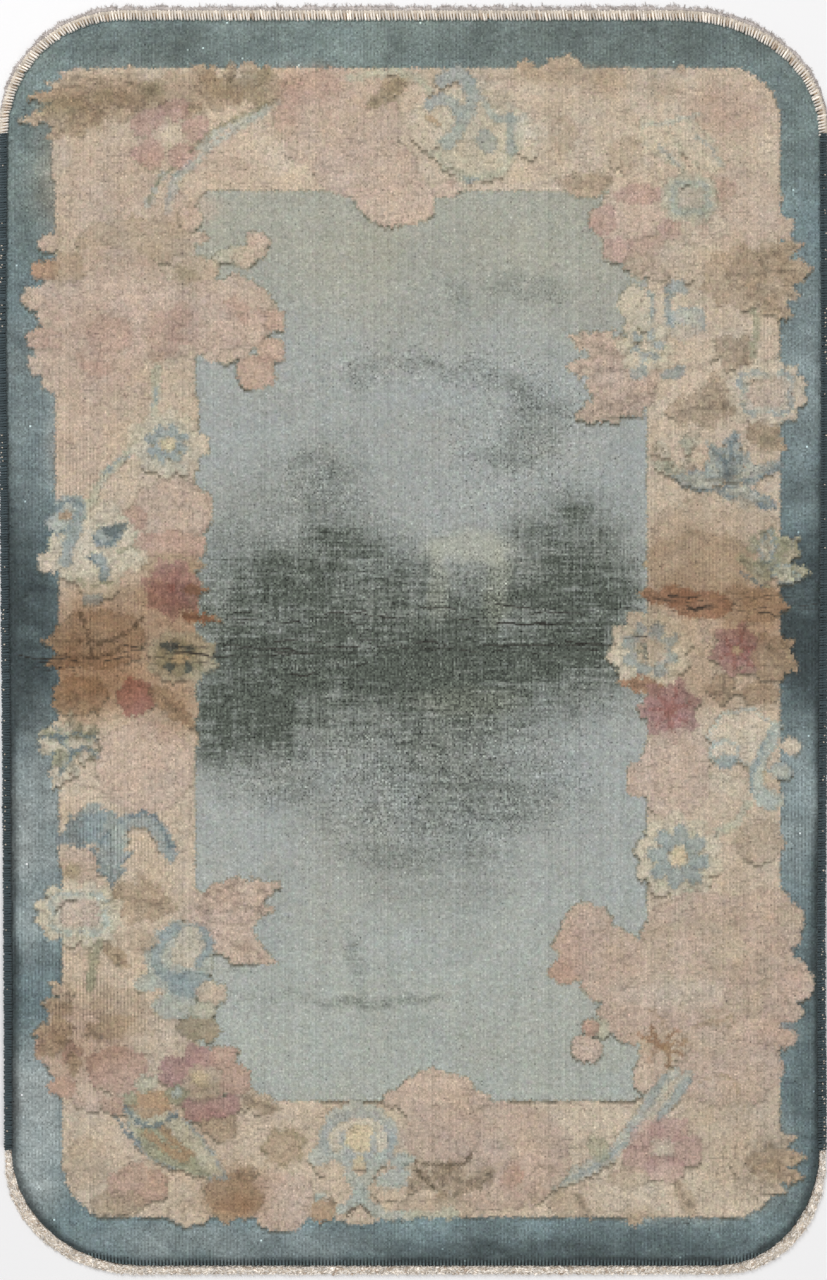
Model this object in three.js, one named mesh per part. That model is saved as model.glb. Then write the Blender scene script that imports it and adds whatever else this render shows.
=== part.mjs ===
// Hand-knotted Chinese art deco rug, lying flat on the floor. Millimetres, +Z up.
// X runs across the rug and Y along it. The origin is under its middle, on the floor.
import * as THREE from "three";

// Knotted cloth: wool pile on its cotton foundation
const CLOTH_HEIGHT = 9;
const EDGE_HEIGHT = 6;
const END_Y = { bottom: -697, top: 692 };

// The pile's rounded rim: how far in from the cut edge, and the height there
const RIM = [
  { inset: 0, height: EDGE_HEIGHT },
  { inset: 5, height: 8.3 },
  { inset: 12, height: CLOTH_HEIGHT },
];

// Corners are quarter ellipses, each end's pair equally long
const CORNER_LENGTH = { bottom: 130, top: 128 };
const CORNER_WIDTH = {
  bottom: { left: 145, right: 114 },
  top: { left: 128, right: 156 },
};
const CORNER_STEPS = 9;

// Sides between the corners, hand-made and so not quite straight.
// share: how far up the side, left and right: X of the cloth's edge
const SIDE_ROWS = [
  { share: 0, left: -448, right: 452.5 },
  { share: 0.2, left: -449, right: 451 },
  { share: 0.4, left: -450.5, right: 453 },
  { share: 0.6, left: -452.5, right: 454.5 },
  { share: 0.8, left: -455, right: 455 },
  { share: 1, left: -453.5, right: 453.5 },
];

// Creases left by folding the rug in half: soft troughs that wander across the pile
const CREASES = [
  { y: -13, depth: 1.6, halfWidth: 7, wander: 3, waves: 1.5 },
  { y: 37, depth: 0.9, halfWidth: 6, wander: 4, waves: 2.2 },
];
const COLUMNS = 14;

// Edge finishes stand just clear of the cloth and of each other.
// Their widths are given along a side, along an end and at the middle of a corner.
const GAP = 0.3;
const OVERCAST = { sideWidth: 8, endWidth: 10, cornerWidth: 10, height: 7 };
const BOTTOM_WEB = { sideWidth: 8, endWidth: 11.5, cornerWidth: 15, height: 4 };
const SELVEDGE = { sideWidth: 8, endWidth: 8, cornerWidth: 8, height: 7.5 };
const ROUNDING = 2;

// Worn cotton outside the overcast end, ragged by so much either way, dying out at the sides
const FRAY = { sideWidth: 0.6, endWidth: 4.6, uneven: 2, height: 2.4, pitch: 7 };

const WOOL_BLUE_GREY = 0x8c9490;
const WOOL_DARK_BLUE = 0x445054;
const COTTON_IVORY = 0xd0c4b4;
const COTTON_GREY = 0xc0b8b4;

const { lerp } = THREE.MathUtils;

function cloth(colour) {
  return new THREE.MeshStandardMaterial({ color: colour, roughness: 0.95, metalness: 0 });
}

function meshOf(name, vertices, triangles, material) {
  const geometry = new THREE.BufferGeometry();
  geometry.setAttribute("position", new THREE.Float32BufferAttribute(vertices.flat(), 3));
  geometry.setIndex(triangles);
  geometry.computeVertexNormals();
  const mesh = new THREE.Mesh(geometry, material);
  mesh.name = name;
  return mesh;
}

// Y where the corner at one end meets the straight side
function cornerStart(end) {
  return END_Y[end] - Math.sign(END_Y[end]) * CORNER_LENGTH[end];
}

function sideY(share) {
  return lerp(cornerStart("bottom"), cornerStart("top"), share);
}

// X of the cloth's edge at height y, corners left aside
function sideX(side, y) {
  const above = SIDE_ROWS.findIndex((row) => sideY(row.share) >= y);
  const upper = above < 0 ? SIDE_ROWS.length - 1 : Math.max(above, 1);
  const from = SIDE_ROWS[upper - 1];
  const to = SIDE_ROWS[upper];
  const part = (y - sideY(from.share)) / (sideY(to.share) - sideY(from.share));
  return lerp(from[side], to[side], THREE.MathUtils.clamp(part, 0, 1));
}

// X of the cloth's edge at height y, drawn in round the corners
function edgeX(side, y) {
  const end = y < 0 ? "bottom" : "top";
  const intoCorner = Math.max(0, Math.abs(y) - Math.abs(cornerStart(end)));
  const sine = Math.min(1, intoCorner / CORNER_LENGTH[end]);
  const drawnIn = CORNER_WIDTH[end][side] * (1 - Math.sqrt(1 - sine * sine));
  return sideX(side, y) + (side === "left" ? drawnIn : -drawnIn);
}

function cornerRows(end) {
  return Array.from({ length: CORNER_STEPS }, (_, step) => {
    const angle = ((step + 1) / CORNER_STEPS) * (Math.PI / 2);
    return cornerStart(end) + Math.sign(END_Y[end]) * CORNER_LENGTH[end] * Math.sin(angle);
  });
}

// Every height at which the outline or a crease needs a point, from the bottom end to the top
const ROWS = [
  ...cornerRows("bottom"),
  ...SIDE_ROWS.map((row) => sideY(row.share)),
  ...CREASES.flatMap((crease) => [crease.y - crease.halfWidth, crease.y, crease.y + crease.halfWidth]),
  ...cornerRows("top"),
].sort((a, b) => a - b);
const LAST = ROWS.length - 1;

// The edge's grid places in order, anticlockwise seen from above, from the bottom left
const EDGE_PLACES = [
  ...Array.from({ length: COLUMNS }, (_, i) => ({ row: 0, column: i })),
  ...Array.from({ length: LAST }, (_, i) => ({ row: i, column: COLUMNS })),
  ...Array.from({ length: COLUMNS }, (_, i) => ({ row: LAST, column: COLUMNS - i })),
  ...Array.from({ length: LAST }, (_, i) => ({ row: LAST - i, column: 0 })),
];

function edgePoint({ row, column }) {
  const y = ROWS[row];
  return new THREE.Vector2(lerp(edgeX("left", y), edgeX("right", y), column / COLUMNS), y);
}

const EDGE = EDGE_PLACES.map(edgePoint);

// Unit vectors pointing out of the cloth at each point of its edge
const OUTWARD = EDGE.map((_, i) => {
  const before = EDGE.at(i - 1);
  const after = EDGE[(i + 1) % EDGE.length];
  return new THREE.Vector2(after.y - before.y, before.x - after.x).normalize();
});

function edgeIndex(row, column) {
  return EDGE_PLACES.findIndex((place) => place.row === row && place.column === column);
}

// How far across the cloth x lies, from 0 at the left to 1 at the right
function acrossShare(x) {
  return (x - SIDE_ROWS[0].left) / (SIDE_ROWS[0].right - SIDE_ROWS[0].left);
}

function creaseWander(crease, x) {
  return crease.wander * Math.sin(crease.waves * 2 * Math.PI * acrossShare(x));
}

function creaseAt(row) {
  return CREASES.find((crease) => Math.abs(ROWS[row] - crease.y) <= crease.halfWidth);
}

// A point of the cloth's face, lowered at the bottom of a crease
function facePoint(row, x, y) {
  const crease = creaseAt(row);
  if (!crease) {
    return [x, y, CLOTH_HEIGHT];
  }
  const depth = ROWS[row] === crease.y ? crease.depth : 0;
  return [x, y + creaseWander(crease, x), CLOTH_HEIGHT - depth];
}

// Fills the quads of the rows-by-columns grid, given each place's vertex
function gridTriangles(vertexAt, facingUp) {
  const triangles = [];
  for (let row = 0; row < LAST; row += 1) {
    for (let column = 0; column < COLUMNS; column += 1) {
      const a = vertexAt(row, column);
      const b = vertexAt(row, column + 1);
      const c = vertexAt(row + 1, column + 1);
      const d = vertexAt(row + 1, column);
      triangles.push(...(facingUp ? [a, b, c, a, c, d] : [a, c, b, a, d, c]));
    }
  }
  return triangles;
}

// The cloth: a flat underside, a wall, a rounded rim and a creased face
function rug() {
  const vertices = [];
  const triangles = [];
  const loopStart = [];

  function addLoop(inset, height) {
    loopStart.push(vertices.length);
    EDGE.forEach((point, i) => {
      const inner = point.clone().addScaledVector(OUTWARD[i], -inset);
      vertices.push([inner.x, inner.y, height]);
    });
  }

  function addInside(pointAt) {
    const start = vertices.length;
    for (let row = 1; row < LAST; row += 1) {
      for (let column = 1; column < COLUMNS; column += 1) {
        vertices.push(pointAt(row, column));
      }
    }
    return start;
  }

  function vertexIn(loop, insideStart) {
    return (row, column) => {
      const onEdge = row === 0 || row === LAST || column === 0 || column === COLUMNS;
      if (onEdge) {
        return loop + edgeIndex(row, column);
      }
      return insideStart + (row - 1) * (COLUMNS - 1) + column - 1;
    };
  }

  addLoop(0, 0);
  RIM.forEach((ring) => addLoop(ring.inset, ring.height));
  for (let ring = 1; ring < loopStart.length; ring += 1) {
    EDGE.forEach((_, i) => {
      const next = (i + 1) % EDGE.length;
      const lower = [loopStart[ring - 1] + i, loopStart[ring - 1] + next];
      const upper = [loopStart[ring] + i, loopStart[ring] + next];
      triangles.push(lower[0], lower[1], upper[1], lower[0], upper[1], upper[0]);
    });
  }

  const underside = addInside((row, column) => [...edgePoint({ row, column }).toArray(), 0]);
  triangles.push(...gridTriangles(vertexIn(loopStart[0], underside), false));

  const faceLoop = loopStart.at(-1);
  const face = addInside((row, column) => {
    const left = vertices[faceLoop + edgeIndex(row, 0)];
    const right = vertices[faceLoop + edgeIndex(row, COLUMNS)];
    const share = column / COLUMNS;
    return facePoint(row, lerp(left[0], right[0], share), lerp(left[1], right[1], share));
  });
  triangles.push(...gridTriangles(vertexIn(faceLoop, face), true));
  return meshOf("rug", vertices, triangles, cloth(WOOL_BLUE_GREY));
}

// A stretch of the edge between two grid places
function edgePath(from, to) {
  const first = edgeIndex(from.row, from.column);
  const last = edgeIndex(to.row, to.column);
  const steps = (last - first + EDGE.length) % EDGE.length;
  return Array.from({ length: steps + 1 }, (_, step) => {
    const i = (first + step) % EDGE.length;
    return { point: EDGE[i].clone(), outward: OUTWARD[i].clone() };
  });
}

// Sweeps a section, a closed list of [offset from the edge, height], along a path
function sweep(name, path, sectionAt, material) {
  const sections = path.map((station, i) => {
    return sectionAt(station, i).map(([offset, height]) => {
      const place = station.point.clone().addScaledVector(station.outward, offset);
      return [place.x, place.y, height];
    });
  });
  const sides = sections[0].length;
  const vertices = sections.flat();
  const triangles = [];
  for (let step = 0; step + 1 < sections.length; step += 1) {
    for (let side = 0; side < sides; side += 1) {
      const next = (side + 1) % sides;
      const a = step * sides + side;
      const b = step * sides + next;
      triangles.push(a, b, b + sides, a, b + sides, a + sides);
    }
  }
  const end = vertices.length - sides;
  for (let side = 1; side + 1 < sides; side += 1) {
    triangles.push(0, side + 1, side);
    triangles.push(end, end + side, end + side + 1);
  }
  return meshOf(name, vertices, triangles, material);
}

// A low bar with rounded shoulders, beside the cloth's edge
function barSection(inner, outer, height) {
  return [
    [inner, 0],
    [inner, height - ROUNDING],
    [inner + ROUNDING, height],
    [outer - ROUNDING, height],
    [outer, height - ROUNDING],
    [outer, ROUNDING / 2],
    [outer - ROUNDING / 2, 0],
  ];
}

// How much a point of the edge faces the rug's end, from 0 on a side to 1 on an end
function facesEnd(outward) {
  return Math.abs(outward.y);
}

function widthAt(finish, outward) {
  const straight = lerp(finish.sideWidth, finish.endWidth, facesEnd(outward));
  const cornering = 2 * Math.abs(outward.x * outward.y);
  return lerp(straight, finish.cornerWidth, cornering);
}

function edgeFinish(name, path, finish, colour) {
  return sweep(
    name,
    path,
    ({ outward }) => barSection(GAP, GAP + widthAt(finish, outward), finish.height),
    cloth(colour),
  );
}

const BOTTOM_CORNER_ROW = ROWS.indexOf(sideY(0));
const TOP_CORNER_ROW = ROWS.indexOf(sideY(1));

function topPath() {
  return edgePath({ row: TOP_CORNER_ROW, column: COLUMNS }, { row: TOP_CORNER_ROW, column: 0 });
}

function bottomPath() {
  return edgePath({ row: BOTTOM_CORNER_ROW, column: 0 }, { row: BOTTOM_CORNER_ROW, column: COLUMNS });
}

// A side's path stops just short of the finishes at the two ends
function sidePath(column) {
  const rows = [BOTTOM_CORNER_ROW, TOP_CORNER_ROW];
  const [from, to] = column === 0 ? rows.reverse() : rows;
  const path = edgePath({ row: from, column }, { row: to, column });
  const upwards = Math.sign(to - from);
  path[0].point.y += upwards * GAP;
  path.at(-1).point.y -= upwards * GAP;
  return path.map((station) => ({ ...station, outward: new THREE.Vector2(Math.sign(station.outward.x), 0) }));
}

// Adds stations to a path so that none are further apart than the pitch
function refine(path, pitch) {
  return path.flatMap((station, i) => {
    if (i === 0) {
      return [station];
    }
    const before = path[i - 1];
    const steps = Math.ceil(before.point.distanceTo(station.point) / pitch);
    return Array.from({ length: steps }, (_, step) => {
      const share = (step + 1) / steps;
      return {
        point: before.point.clone().lerp(station.point, share),
        outward: before.outward.clone().lerp(station.outward, share).normalize(),
      };
    });
  });
}

// A repeatable number from -1 to 1 for each tuft of frayed cotton
function uneven(tuft) {
  const value = Math.sin(tuft * 12.9898) * 43758.5453;
  return 2 * (value - Math.floor(value)) - 1;
}

function frayedWeb() {
  return sweep(
    "frayed_web_top",
    refine(topPath(), FRAY.pitch),
    ({ outward }, tuft) => {
      const inner = GAP + widthAt(OVERCAST, outward) + GAP;
      const ragged = FRAY.endWidth + FRAY.uneven * uneven(tuft);
      const outer = inner + lerp(FRAY.sideWidth, ragged, facesEnd(outward));
      return [
        [inner, 0],
        [inner, FRAY.height],
        [outer, FRAY.height / 2],
        [outer, 0],
      ];
    },
    cloth(COTTON_GREY),
  );
}

const part = new THREE.Group();
part.add(
  rug(),
  edgeFinish("end_overcast_top", topPath(), OVERCAST, COTTON_IVORY),
  frayedWeb(),
  edgeFinish("end_web_bottom", bottomPath(), BOTTOM_WEB, COTTON_IVORY),
  edgeFinish("selvedge_left", sidePath(0), SELVEDGE, WOOL_DARK_BLUE),
  edgeFinish("selvedge_right", sidePath(COLUMNS), SELVEDGE, WOOL_DARK_BLUE),
);

export default part;
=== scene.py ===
"""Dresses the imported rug: its knotted pile and flower border, its woven ground and its stitched edges."""
import math
from collections import namedtuple

import bpy
import numpy as np
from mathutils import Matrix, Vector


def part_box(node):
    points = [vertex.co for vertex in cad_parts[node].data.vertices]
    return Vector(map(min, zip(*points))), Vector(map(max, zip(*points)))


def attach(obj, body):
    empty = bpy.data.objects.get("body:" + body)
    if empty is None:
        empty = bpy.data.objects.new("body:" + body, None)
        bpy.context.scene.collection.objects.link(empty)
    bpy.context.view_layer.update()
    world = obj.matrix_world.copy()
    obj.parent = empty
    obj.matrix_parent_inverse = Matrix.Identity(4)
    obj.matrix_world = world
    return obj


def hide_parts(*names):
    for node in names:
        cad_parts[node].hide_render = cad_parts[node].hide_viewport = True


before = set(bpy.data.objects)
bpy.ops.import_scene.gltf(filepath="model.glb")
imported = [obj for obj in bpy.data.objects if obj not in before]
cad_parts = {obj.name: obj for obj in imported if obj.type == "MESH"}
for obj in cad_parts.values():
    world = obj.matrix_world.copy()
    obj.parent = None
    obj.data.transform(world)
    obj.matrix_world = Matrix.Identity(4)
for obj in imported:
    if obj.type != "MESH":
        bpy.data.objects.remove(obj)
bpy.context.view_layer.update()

# Sizes are in millimetres, in the rug's own frame, until a mesh is made from them.
MM = 0.001
KNOT = 3.81
TUFT = KNOT / 2
GROUND_HEIGHT = 3.0
STRIPS = 4

# Yarn and dirt colours, and those of painted shadow and of painted shade in cracks, as they look in
# daylight (sRGB)
YARNS = {
    "border": "#728284",
    "field": "#a0a4a0",
    "field_high": "#a4a498",
    "field_low": "#a8aca4",
    "worn": "#50564e",
    "faded": "#a2a8a6",
    "cream": "#c0b09c",
    "pale": "#c8bca8",
    "pink": "#b8a494",
    "rose": "#b09484",
    "blush": "#c0ac9c",
    "mauve": "#a0807c",
    "dusty": "#ac8c84",
    "red": "#9c7068",
    "brown": "#a89680",
    "olive": "#948870",
    "dun": "#b4a490",
    "tan": "#a49078",
    "rust": "#98745c",
    "gold": "#c8b898",
    "orange": "#ac9074",
    "green": "#989880",
    "pale_green": "#b4b4a0",
    "moss": "#848068",
    "celadon": "#c4bca8",
    "navy": "#586464",
    "blue": "#909c9c",
    "pale_blue": "#aab2aa",
    "deep_blue": "#707e82",
    "umber": "#6c6050",
    "shadow": "#484438",
    "stain": "#94765c",
    # Painted shade in the cracks
    "crack_shade": "#302c28",
    "ivory": "#d0c4b4",
    "bleached": "#ece4da",
    "grey_cotton": "#c0b8b4",
    "dark_wool": "#445054",
    "back_cotton": "#b8ac98",
}


def srgb(name):
    text = YARNS[name].lstrip("#")
    return np.array([int(text[i:i + 2], 16) for i in (0, 2, 4)]) / 255


def linear(colour):
    return np.where(colour <= 0.04045, colour / 12.92, ((colour + 0.055) / 1.055) ** 2.4)


def smooth(value):
    value = np.clip(value, 0, 1)
    return value * value * (3 - 2 * value)


# Noise. A cell is in grid steps: one number, or rows and columns.
OCTAVE_FADE = 1.5


def soft_noise(shape, cell, seed):
    """Noise from -1 to 1 that changes smoothly from cell to cell."""
    tall, wide = cell if isinstance(cell, tuple) else (cell, cell)
    lattice_shape = int(shape[0] / tall) + 3, int(shape[1] / wide) + 3
    lattice = np.random.default_rng(seed).uniform(-1, 1, lattice_shape)
    row, row_part = np.divmod(np.arange(shape[0]) / tall, 1)
    column, column_part = np.divmod(np.arange(shape[1]) / wide, 1)
    row, column = row.astype(int), column.astype(int)
    row_part, column_part = smooth(row_part)[:, None], smooth(column_part)[None, :]

    def along(line):
        left, right = lattice[np.ix_(line, column)], lattice[np.ix_(line, column + 1)]
        return left * (1 - column_part) + right * column_part

    return along(row) * (1 - row_part) + along(row + 1) * row_part


def cloudy(shape, cell, seed, octaves=3):
    """Several sizes of soft noise together."""
    tall, wide = cell if isinstance(cell, tuple) else (cell, cell)
    total, most = 0, 0
    for k in range(octaves):
        smaller = max(1, tall / 2 ** k), max(1, wide / 2 ** k)
        total = total + soft_noise(shape, smaller, seed + k) / OCTAVE_FADE ** k
        most += 1 / OCTAVE_FADE ** k
    return total / most


# The rug's outline, taken from its solid
def outline_of(node):
    """The node's outline from above, anticlockwise: the rim of its flat underside."""
    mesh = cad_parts[node].data
    edges = {}
    for face in mesh.polygons:
        if face.normal.z > -0.99:
            continue
        keys = [tuple(round(value / MM, 2) for value in mesh.vertices[i].co[:2]) for i in face.vertices]
        for start, end in zip(keys, keys[1:] + keys[:1]):
            if (end, start) in edges:
                del edges[end, start]
            else:
                edges[start, end] = True
    # Seen from below, the underside turns clockwise, so its edges are followed backwards.
    before = {end: start for start, end in edges}
    loop = [min(before)]
    while before[loop[-1]] != loop[0]:
        loop.append(before[loop[-1]])
    return np.array(loop)


OUTLINE = outline_of("rug")


def edge_depth(x, y):
    """How far inside the outline each place lies, and the outline's nearest point."""
    best = np.full(x.shape, np.inf)
    near_x = np.zeros(x.shape)
    near_y = np.zeros(x.shape)
    inside = np.zeros(x.shape, bool)
    for (ax, ay), (bx, by) in zip(OUTLINE, np.roll(OUTLINE, -1, axis=0)):
        dx, dy = bx - ax, by - ay
        share = np.clip(((x - ax) * dx + (y - ay) * dy) / (dx * dx + dy * dy), 0, 1)
        px, py = ax + share * dx, ay + share * dy
        distance = np.hypot(x - px, y - py)
        closer = distance < best
        best = np.where(closer, distance, best)
        near_x = np.where(closer, px, near_x)
        near_y = np.where(closer, py, near_y)
        if dy:
            crosses = ((ay > y) != (by > y)) & (x < ax + (y - ay) * dx / dy)
            inside ^= crosses
    return np.where(inside, best, -best), near_x, near_y


# Shapes that the pattern is drawn with. Each measures how far inside it a place is.
TOOTH_BITE = 0.42


def lobed_ellipse(x, y, across, along, turn=0, lobes=0, bite=0):
    """An ellipse. Lobes round its edge are round where bite is above 0, and pointed where it is below."""
    cos, sin = math.cos(math.radians(turn)), math.sin(math.radians(turn))
    u = (x * cos + y * sin) / across
    v = (y * cos - x * sin) / along
    wave = np.abs(np.sin(lobes / 2 * np.arctan2(v, u)))
    edge = 1 - abs(bite) * (1 - wave if bite > 0 else wave)
    return (edge - np.hypot(u, v)) * min(across, along)


def serrated_leaf(x, y, tip_x, tip_y, width, teeth):
    """A leaf from the origin to its tip, with so many teeth a side.

    Also gives each place's share of the way along the rib, and how far beside the rib it is.
    """
    length = math.hypot(tip_x, tip_y)
    along = (x * tip_x + y * tip_y) / length ** 2
    beside = np.abs(x * tip_y - y * tip_x) / length
    inner = np.clip(along, 0, 1)
    half = width / 2 * np.sin(np.pi * inner ** 0.75)
    saw = (inner * teeth) % 1
    half *= 1 - TOOTH_BITE * saw if teeth else 1
    ends = np.minimum(along, 1 - along) * length
    return np.minimum(half - beside, ends), along, beside


def curve_points(points, steps=7):
    """A smooth curve through a few points."""
    p = np.array(points, float)
    p = np.vstack([2 * p[0] - p[1], p, 2 * p[-1] - p[-2]])
    t = np.linspace(0, 1, steps, endpoint=False)[:, None]
    parts = []
    for a, b, c, d in zip(p, p[1:], p[2:], p[3:]):
        cubic = (3 * b - a - 3 * c + d) * t ** 3 + (2 * a - 5 * b + 4 * c - d) * t ** 2 + (c - a) * t
        parts.append(b + cubic / 2)
    return np.vstack([*parts, p[-2:-1]])


def distance_to(x, y, path):
    best = np.full(x.shape, np.inf)
    for (ax, ay), (bx, by) in zip(path, path[1:]):
        dx, dy = bx - ax, by - ay
        share = np.clip(((x - ax) * dx + (y - ay) * dy) / (dx * dx + dy * dy + 1e-9), 0, 1)
        best = np.minimum(best, np.hypot(x - ax - share * dx, y - ay - share * dy))
    return best


class Grid:
    """Evenly spaced places on the rug's face."""

    def __init__(self, pitch):
        margin = 2 * KNOT
        self.low = np.floor((OUTLINE.min(axis=0) - margin) / KNOT) * KNOT
        size = np.ceil((OUTLINE.max(axis=0) + margin - self.low) / KNOT) * KNOT
        self.pitch = pitch
        self.columns, self.rows = (np.round(size / pitch)).astype(int)
        self.shape = (self.rows, self.columns)
        xs = self.low[0] + (np.arange(self.columns) + 0.5) * pitch
        ys = self.low[1] + (np.arange(self.rows) + 0.5) * pitch
        self.x, self.y = np.meshgrid(xs, ys)

    def window(self, left, bottom, right, top):
        """The part of the grid that covers a box."""
        def span(low, high, start, count):
            first = int(np.clip((low - start) / self.pitch - 1, 0, count - 1))
            last = int(np.clip((high - start) / self.pitch + 2, 1, count))
            return slice(first, max(last, first + 1))
        return span(bottom, top, self.low[1], self.rows), span(left, right, self.low[0], self.columns)


# The weaver's chart: one place for each knot
chart = Grid(KNOT)
chart.colour = np.zeros((*chart.shape, 3))
chart.region = np.zeros(chart.shape, int)
chart.lift = np.zeros(chart.shape)
# Hand knotting leaves no edge quite true, and columns of knots slip a little against each other
EDGE_WANDER, KNOT_WANDER, COLUMN_SLIP = 2.4, 1.0, 0.4
drawn_x = chart.x + EDGE_WANDER * cloudy(chart.shape, 6, 11)
drawn_x += KNOT_WANDER * soft_noise(chart.shape, 1.5, 12)
drawn_y = chart.y + EDGE_WANDER * cloudy(chart.shape, 6, 21)
drawn_y += KNOT_WANDER * soft_noise(chart.shape, 1.5, 22)
drawn_y += COLUMN_SLIP * np.random.default_rng(23).normal(0, 1, chart.columns)[None, :]
# The share of its dye that the group of flowers in hand keeps, and how unevenly all of them keep it
chart.dye = 1
patchy = 0.94 + 0.16 * cloudy(chart.shape, 5, 24)
MOTIF_LIFT = 0.5
# The first numbers of regions. Each carved shape then gets the next one.
BORDER, BAND, FIELD = 0, 1, 2

Petal = namedtuple("Petal", "yarn x y across along turn lobes bite edge", defaults=(0, 0, 0, None))
Leaf = namedtuple("Leaf", "yarn x y tip_x tip_y width teeth edge", defaults=(5, None))
Stem = namedtuple("Stem", "yarn width points")
Wash = namedtuple("Wash", "yarn x y across along strength", defaults=(0.7,))
Star = namedtuple("Star", "yarn vein heart x y radius petals turn")
Rosette = namedtuple("Rosette", "x y radius petals turn rim ring heart reach core", defaults=(0.55, 0.34))
BoxFlower = namedtuple("BoxFlower", "x y across along rim line heart")
Foliage = namedtuple("Foliage", "yarns x y across along count size seed edge", defaults=(None,))
Ruffle = namedtuple("Ruffle", "yarns x y across along petals size seed")


EDGE_LINE = 0.9 * KNOT
VEIN_WIDTH, VEIN_SHADE, RIB_SHADE = 0.24, 0.93, 0.86
WASH_EDGE = 1.35


def knot_in(window, inside, yarn, carved=True, edge=None):
    """Knots one faded yarn wherever the measure is above 0, and an edge of another if one is given."""
    mask = inside > 0
    tone = 0.96 + 0.04 * smooth(inside / (2 * KNOT))
    strength = (chart.dye * patchy[window])[..., None]
    # Off the band, a faded flower pales towards cream and not towards the blue about it
    bare = np.isin(chart.region[window], (BORDER, FIELD))[..., None]
    under = np.where(bare, srgb("cream"), chart.colour[window])
    dyed = srgb(yarn) * tone[..., None]
    if edge:
        dyed = np.where((inside < EDGE_LINE)[..., None], srgb(edge), dyed)
    faded = under * (1 - strength) + dyed * strength
    chart.colour[window][mask] = faded[mask]
    chart.lift[window][mask] = MOTIF_LIFT
    if carved:
        chart.region[window][mask] = chart.region.max() + 1


def draw_petal(row, carved=True):
    reach = max(row.across, row.along) + KNOT
    window = chart.window(row.x - reach, row.y - reach, row.x + reach, row.y + reach)
    inside = lobed_ellipse(drawn_x[window] - row.x, drawn_y[window] - row.y, *row[3:8])
    knot_in(window, inside, row.yarn, carved, row.edge)


def draw_leaf(row):
    xs, ys = sorted((row.x, row.tip_x)), sorted((row.y, row.tip_y))
    window = chart.window(xs[0] - row.width, ys[0] - row.width, xs[1] + row.width, ys[1] + row.width)
    inside, along, beside = serrated_leaf(
        drawn_x[window] - row.x, drawn_y[window] - row.y,
        row.tip_x - row.x, row.tip_y - row.y, row.width, row.teeth)
    knot_in(window, inside, row.yarn, True, row.edge)
    if row.teeth:
        vein = (along - 0.4 * beside / row.width) * row.teeth % 1 < VEIN_WIDTH
        chart.colour[window][(inside > 0) & vein] *= VEIN_SHADE
        chart.colour[window][(inside > 0) & (beside < KNOT / 2) & (along < 0.8)] *= RIB_SHADE


def draw_stem(row):
    path = curve_points(row.points)
    low, high = path.min(axis=0) - row.width, path.max(axis=0) + row.width
    window = chart.window(*low, *high)
    inside = row.width / 2 - distance_to(drawn_x[window], drawn_y[window], path)
    knot_in(window, inside, row.yarn, row.width > 2 * KNOT)


def draw_wash(row):
    reach = 1.6 * max(row.across, row.along)
    window = chart.window(row.x - reach, row.y - reach, row.x + reach, row.y + reach)
    far = np.hypot((drawn_x[window] - row.x) / row.across, (drawn_y[window] - row.y) / row.along)
    share = (row.strength * smooth(WASH_EDGE - far))[..., None]
    chart.colour[window] = chart.colour[window] * (1 - share) + srgb(row.yarn) * share


def petal_ring(x, y, far_x, far_y, count, turn, yarn, long, wide):
    """A ring of small petals, each pointing away from the middle."""
    for k in range(count):
        angle = math.radians(turn) + 2 * math.pi * k / count
        cos, sin = math.cos(angle), math.sin(angle)
        draw_petal(Petal(yarn, x + far_x * cos, y + far_y * sin, long, wide, math.degrees(angle)))


def draw_rosette(row):
    """A round flower: a rim of small pale petals, a ring of blue ones and a small heart."""
    size = row.radius
    far = 0.74 * size
    petal_ring(row.x, row.y, far, far, row.petals + 2, row.turn, row.rim, 0.28 * size, 0.26 * size)
    draw_petal(Petal(row.rim, row.x, row.y, 0.76 * size, 0.76 * size), False)
    ring = row.reach * size
    far = 0.66 * ring
    petal_ring(row.x, row.y, far, far, row.petals, row.turn + 15, row.ring, 0.36 * ring, 0.24 * ring)
    core = row.core * ring
    draw_petal(Petal(row.rim, row.x, row.y, core + 2, core + 2), False)
    draw_petal(Petal(row.heart, row.x, row.y, core, core), False)


def draw_box_flower(row):
    """A squarish flower: a rim of small petals, a broken line inside it and a plain heart."""
    across, along = row.across, row.along

    def square(yarn, share, bite):
        draw_petal(Petal(yarn, row.x, row.y, share * across, share * along, 0, 4, bite), False)

    petal_ring(row.x, row.y, 0.76 * across, 0.76 * along, 12, 15, row.rim, 0.26 * across, 0.26 * along)
    square(row.rim, 0.95, 0.26)
    square(row.line, 0.8, 0.26)
    petal_ring(row.x, row.y, 0.6 * across, 0.6 * along, 6, 20, row.rim, 0.12 * across, 0.12 * along)
    square(row.rim, 0.66, 0.26)
    square(row.heart, 0.52, 0.24)


def draw_star(row):
    """A flower of toothed petals with dark veins and a small heart."""
    tips = []
    for k in range(row.petals):
        angle = math.radians(row.turn) + 2 * math.pi * k / row.petals
        tips.append((math.cos(angle), math.sin(angle)))
    for cos, sin in tips:
        tip_x, tip_y = row.x + row.radius * cos, row.y + row.radius * sin
        draw_leaf(Leaf(row.yarn, row.x, row.y, tip_x, tip_y, 0.95 * row.radius, 2))
    for cos, sin in tips:
        tip = (row.x + 0.6 * row.radius * cos, row.y + 0.6 * row.radius * sin)
        draw_stem(Stem(row.vein, 4.5, [(row.x, row.y), tip]))
    draw_petal(Petal(row.heart, row.x, row.y, 4.5, 4.5), False)


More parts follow.
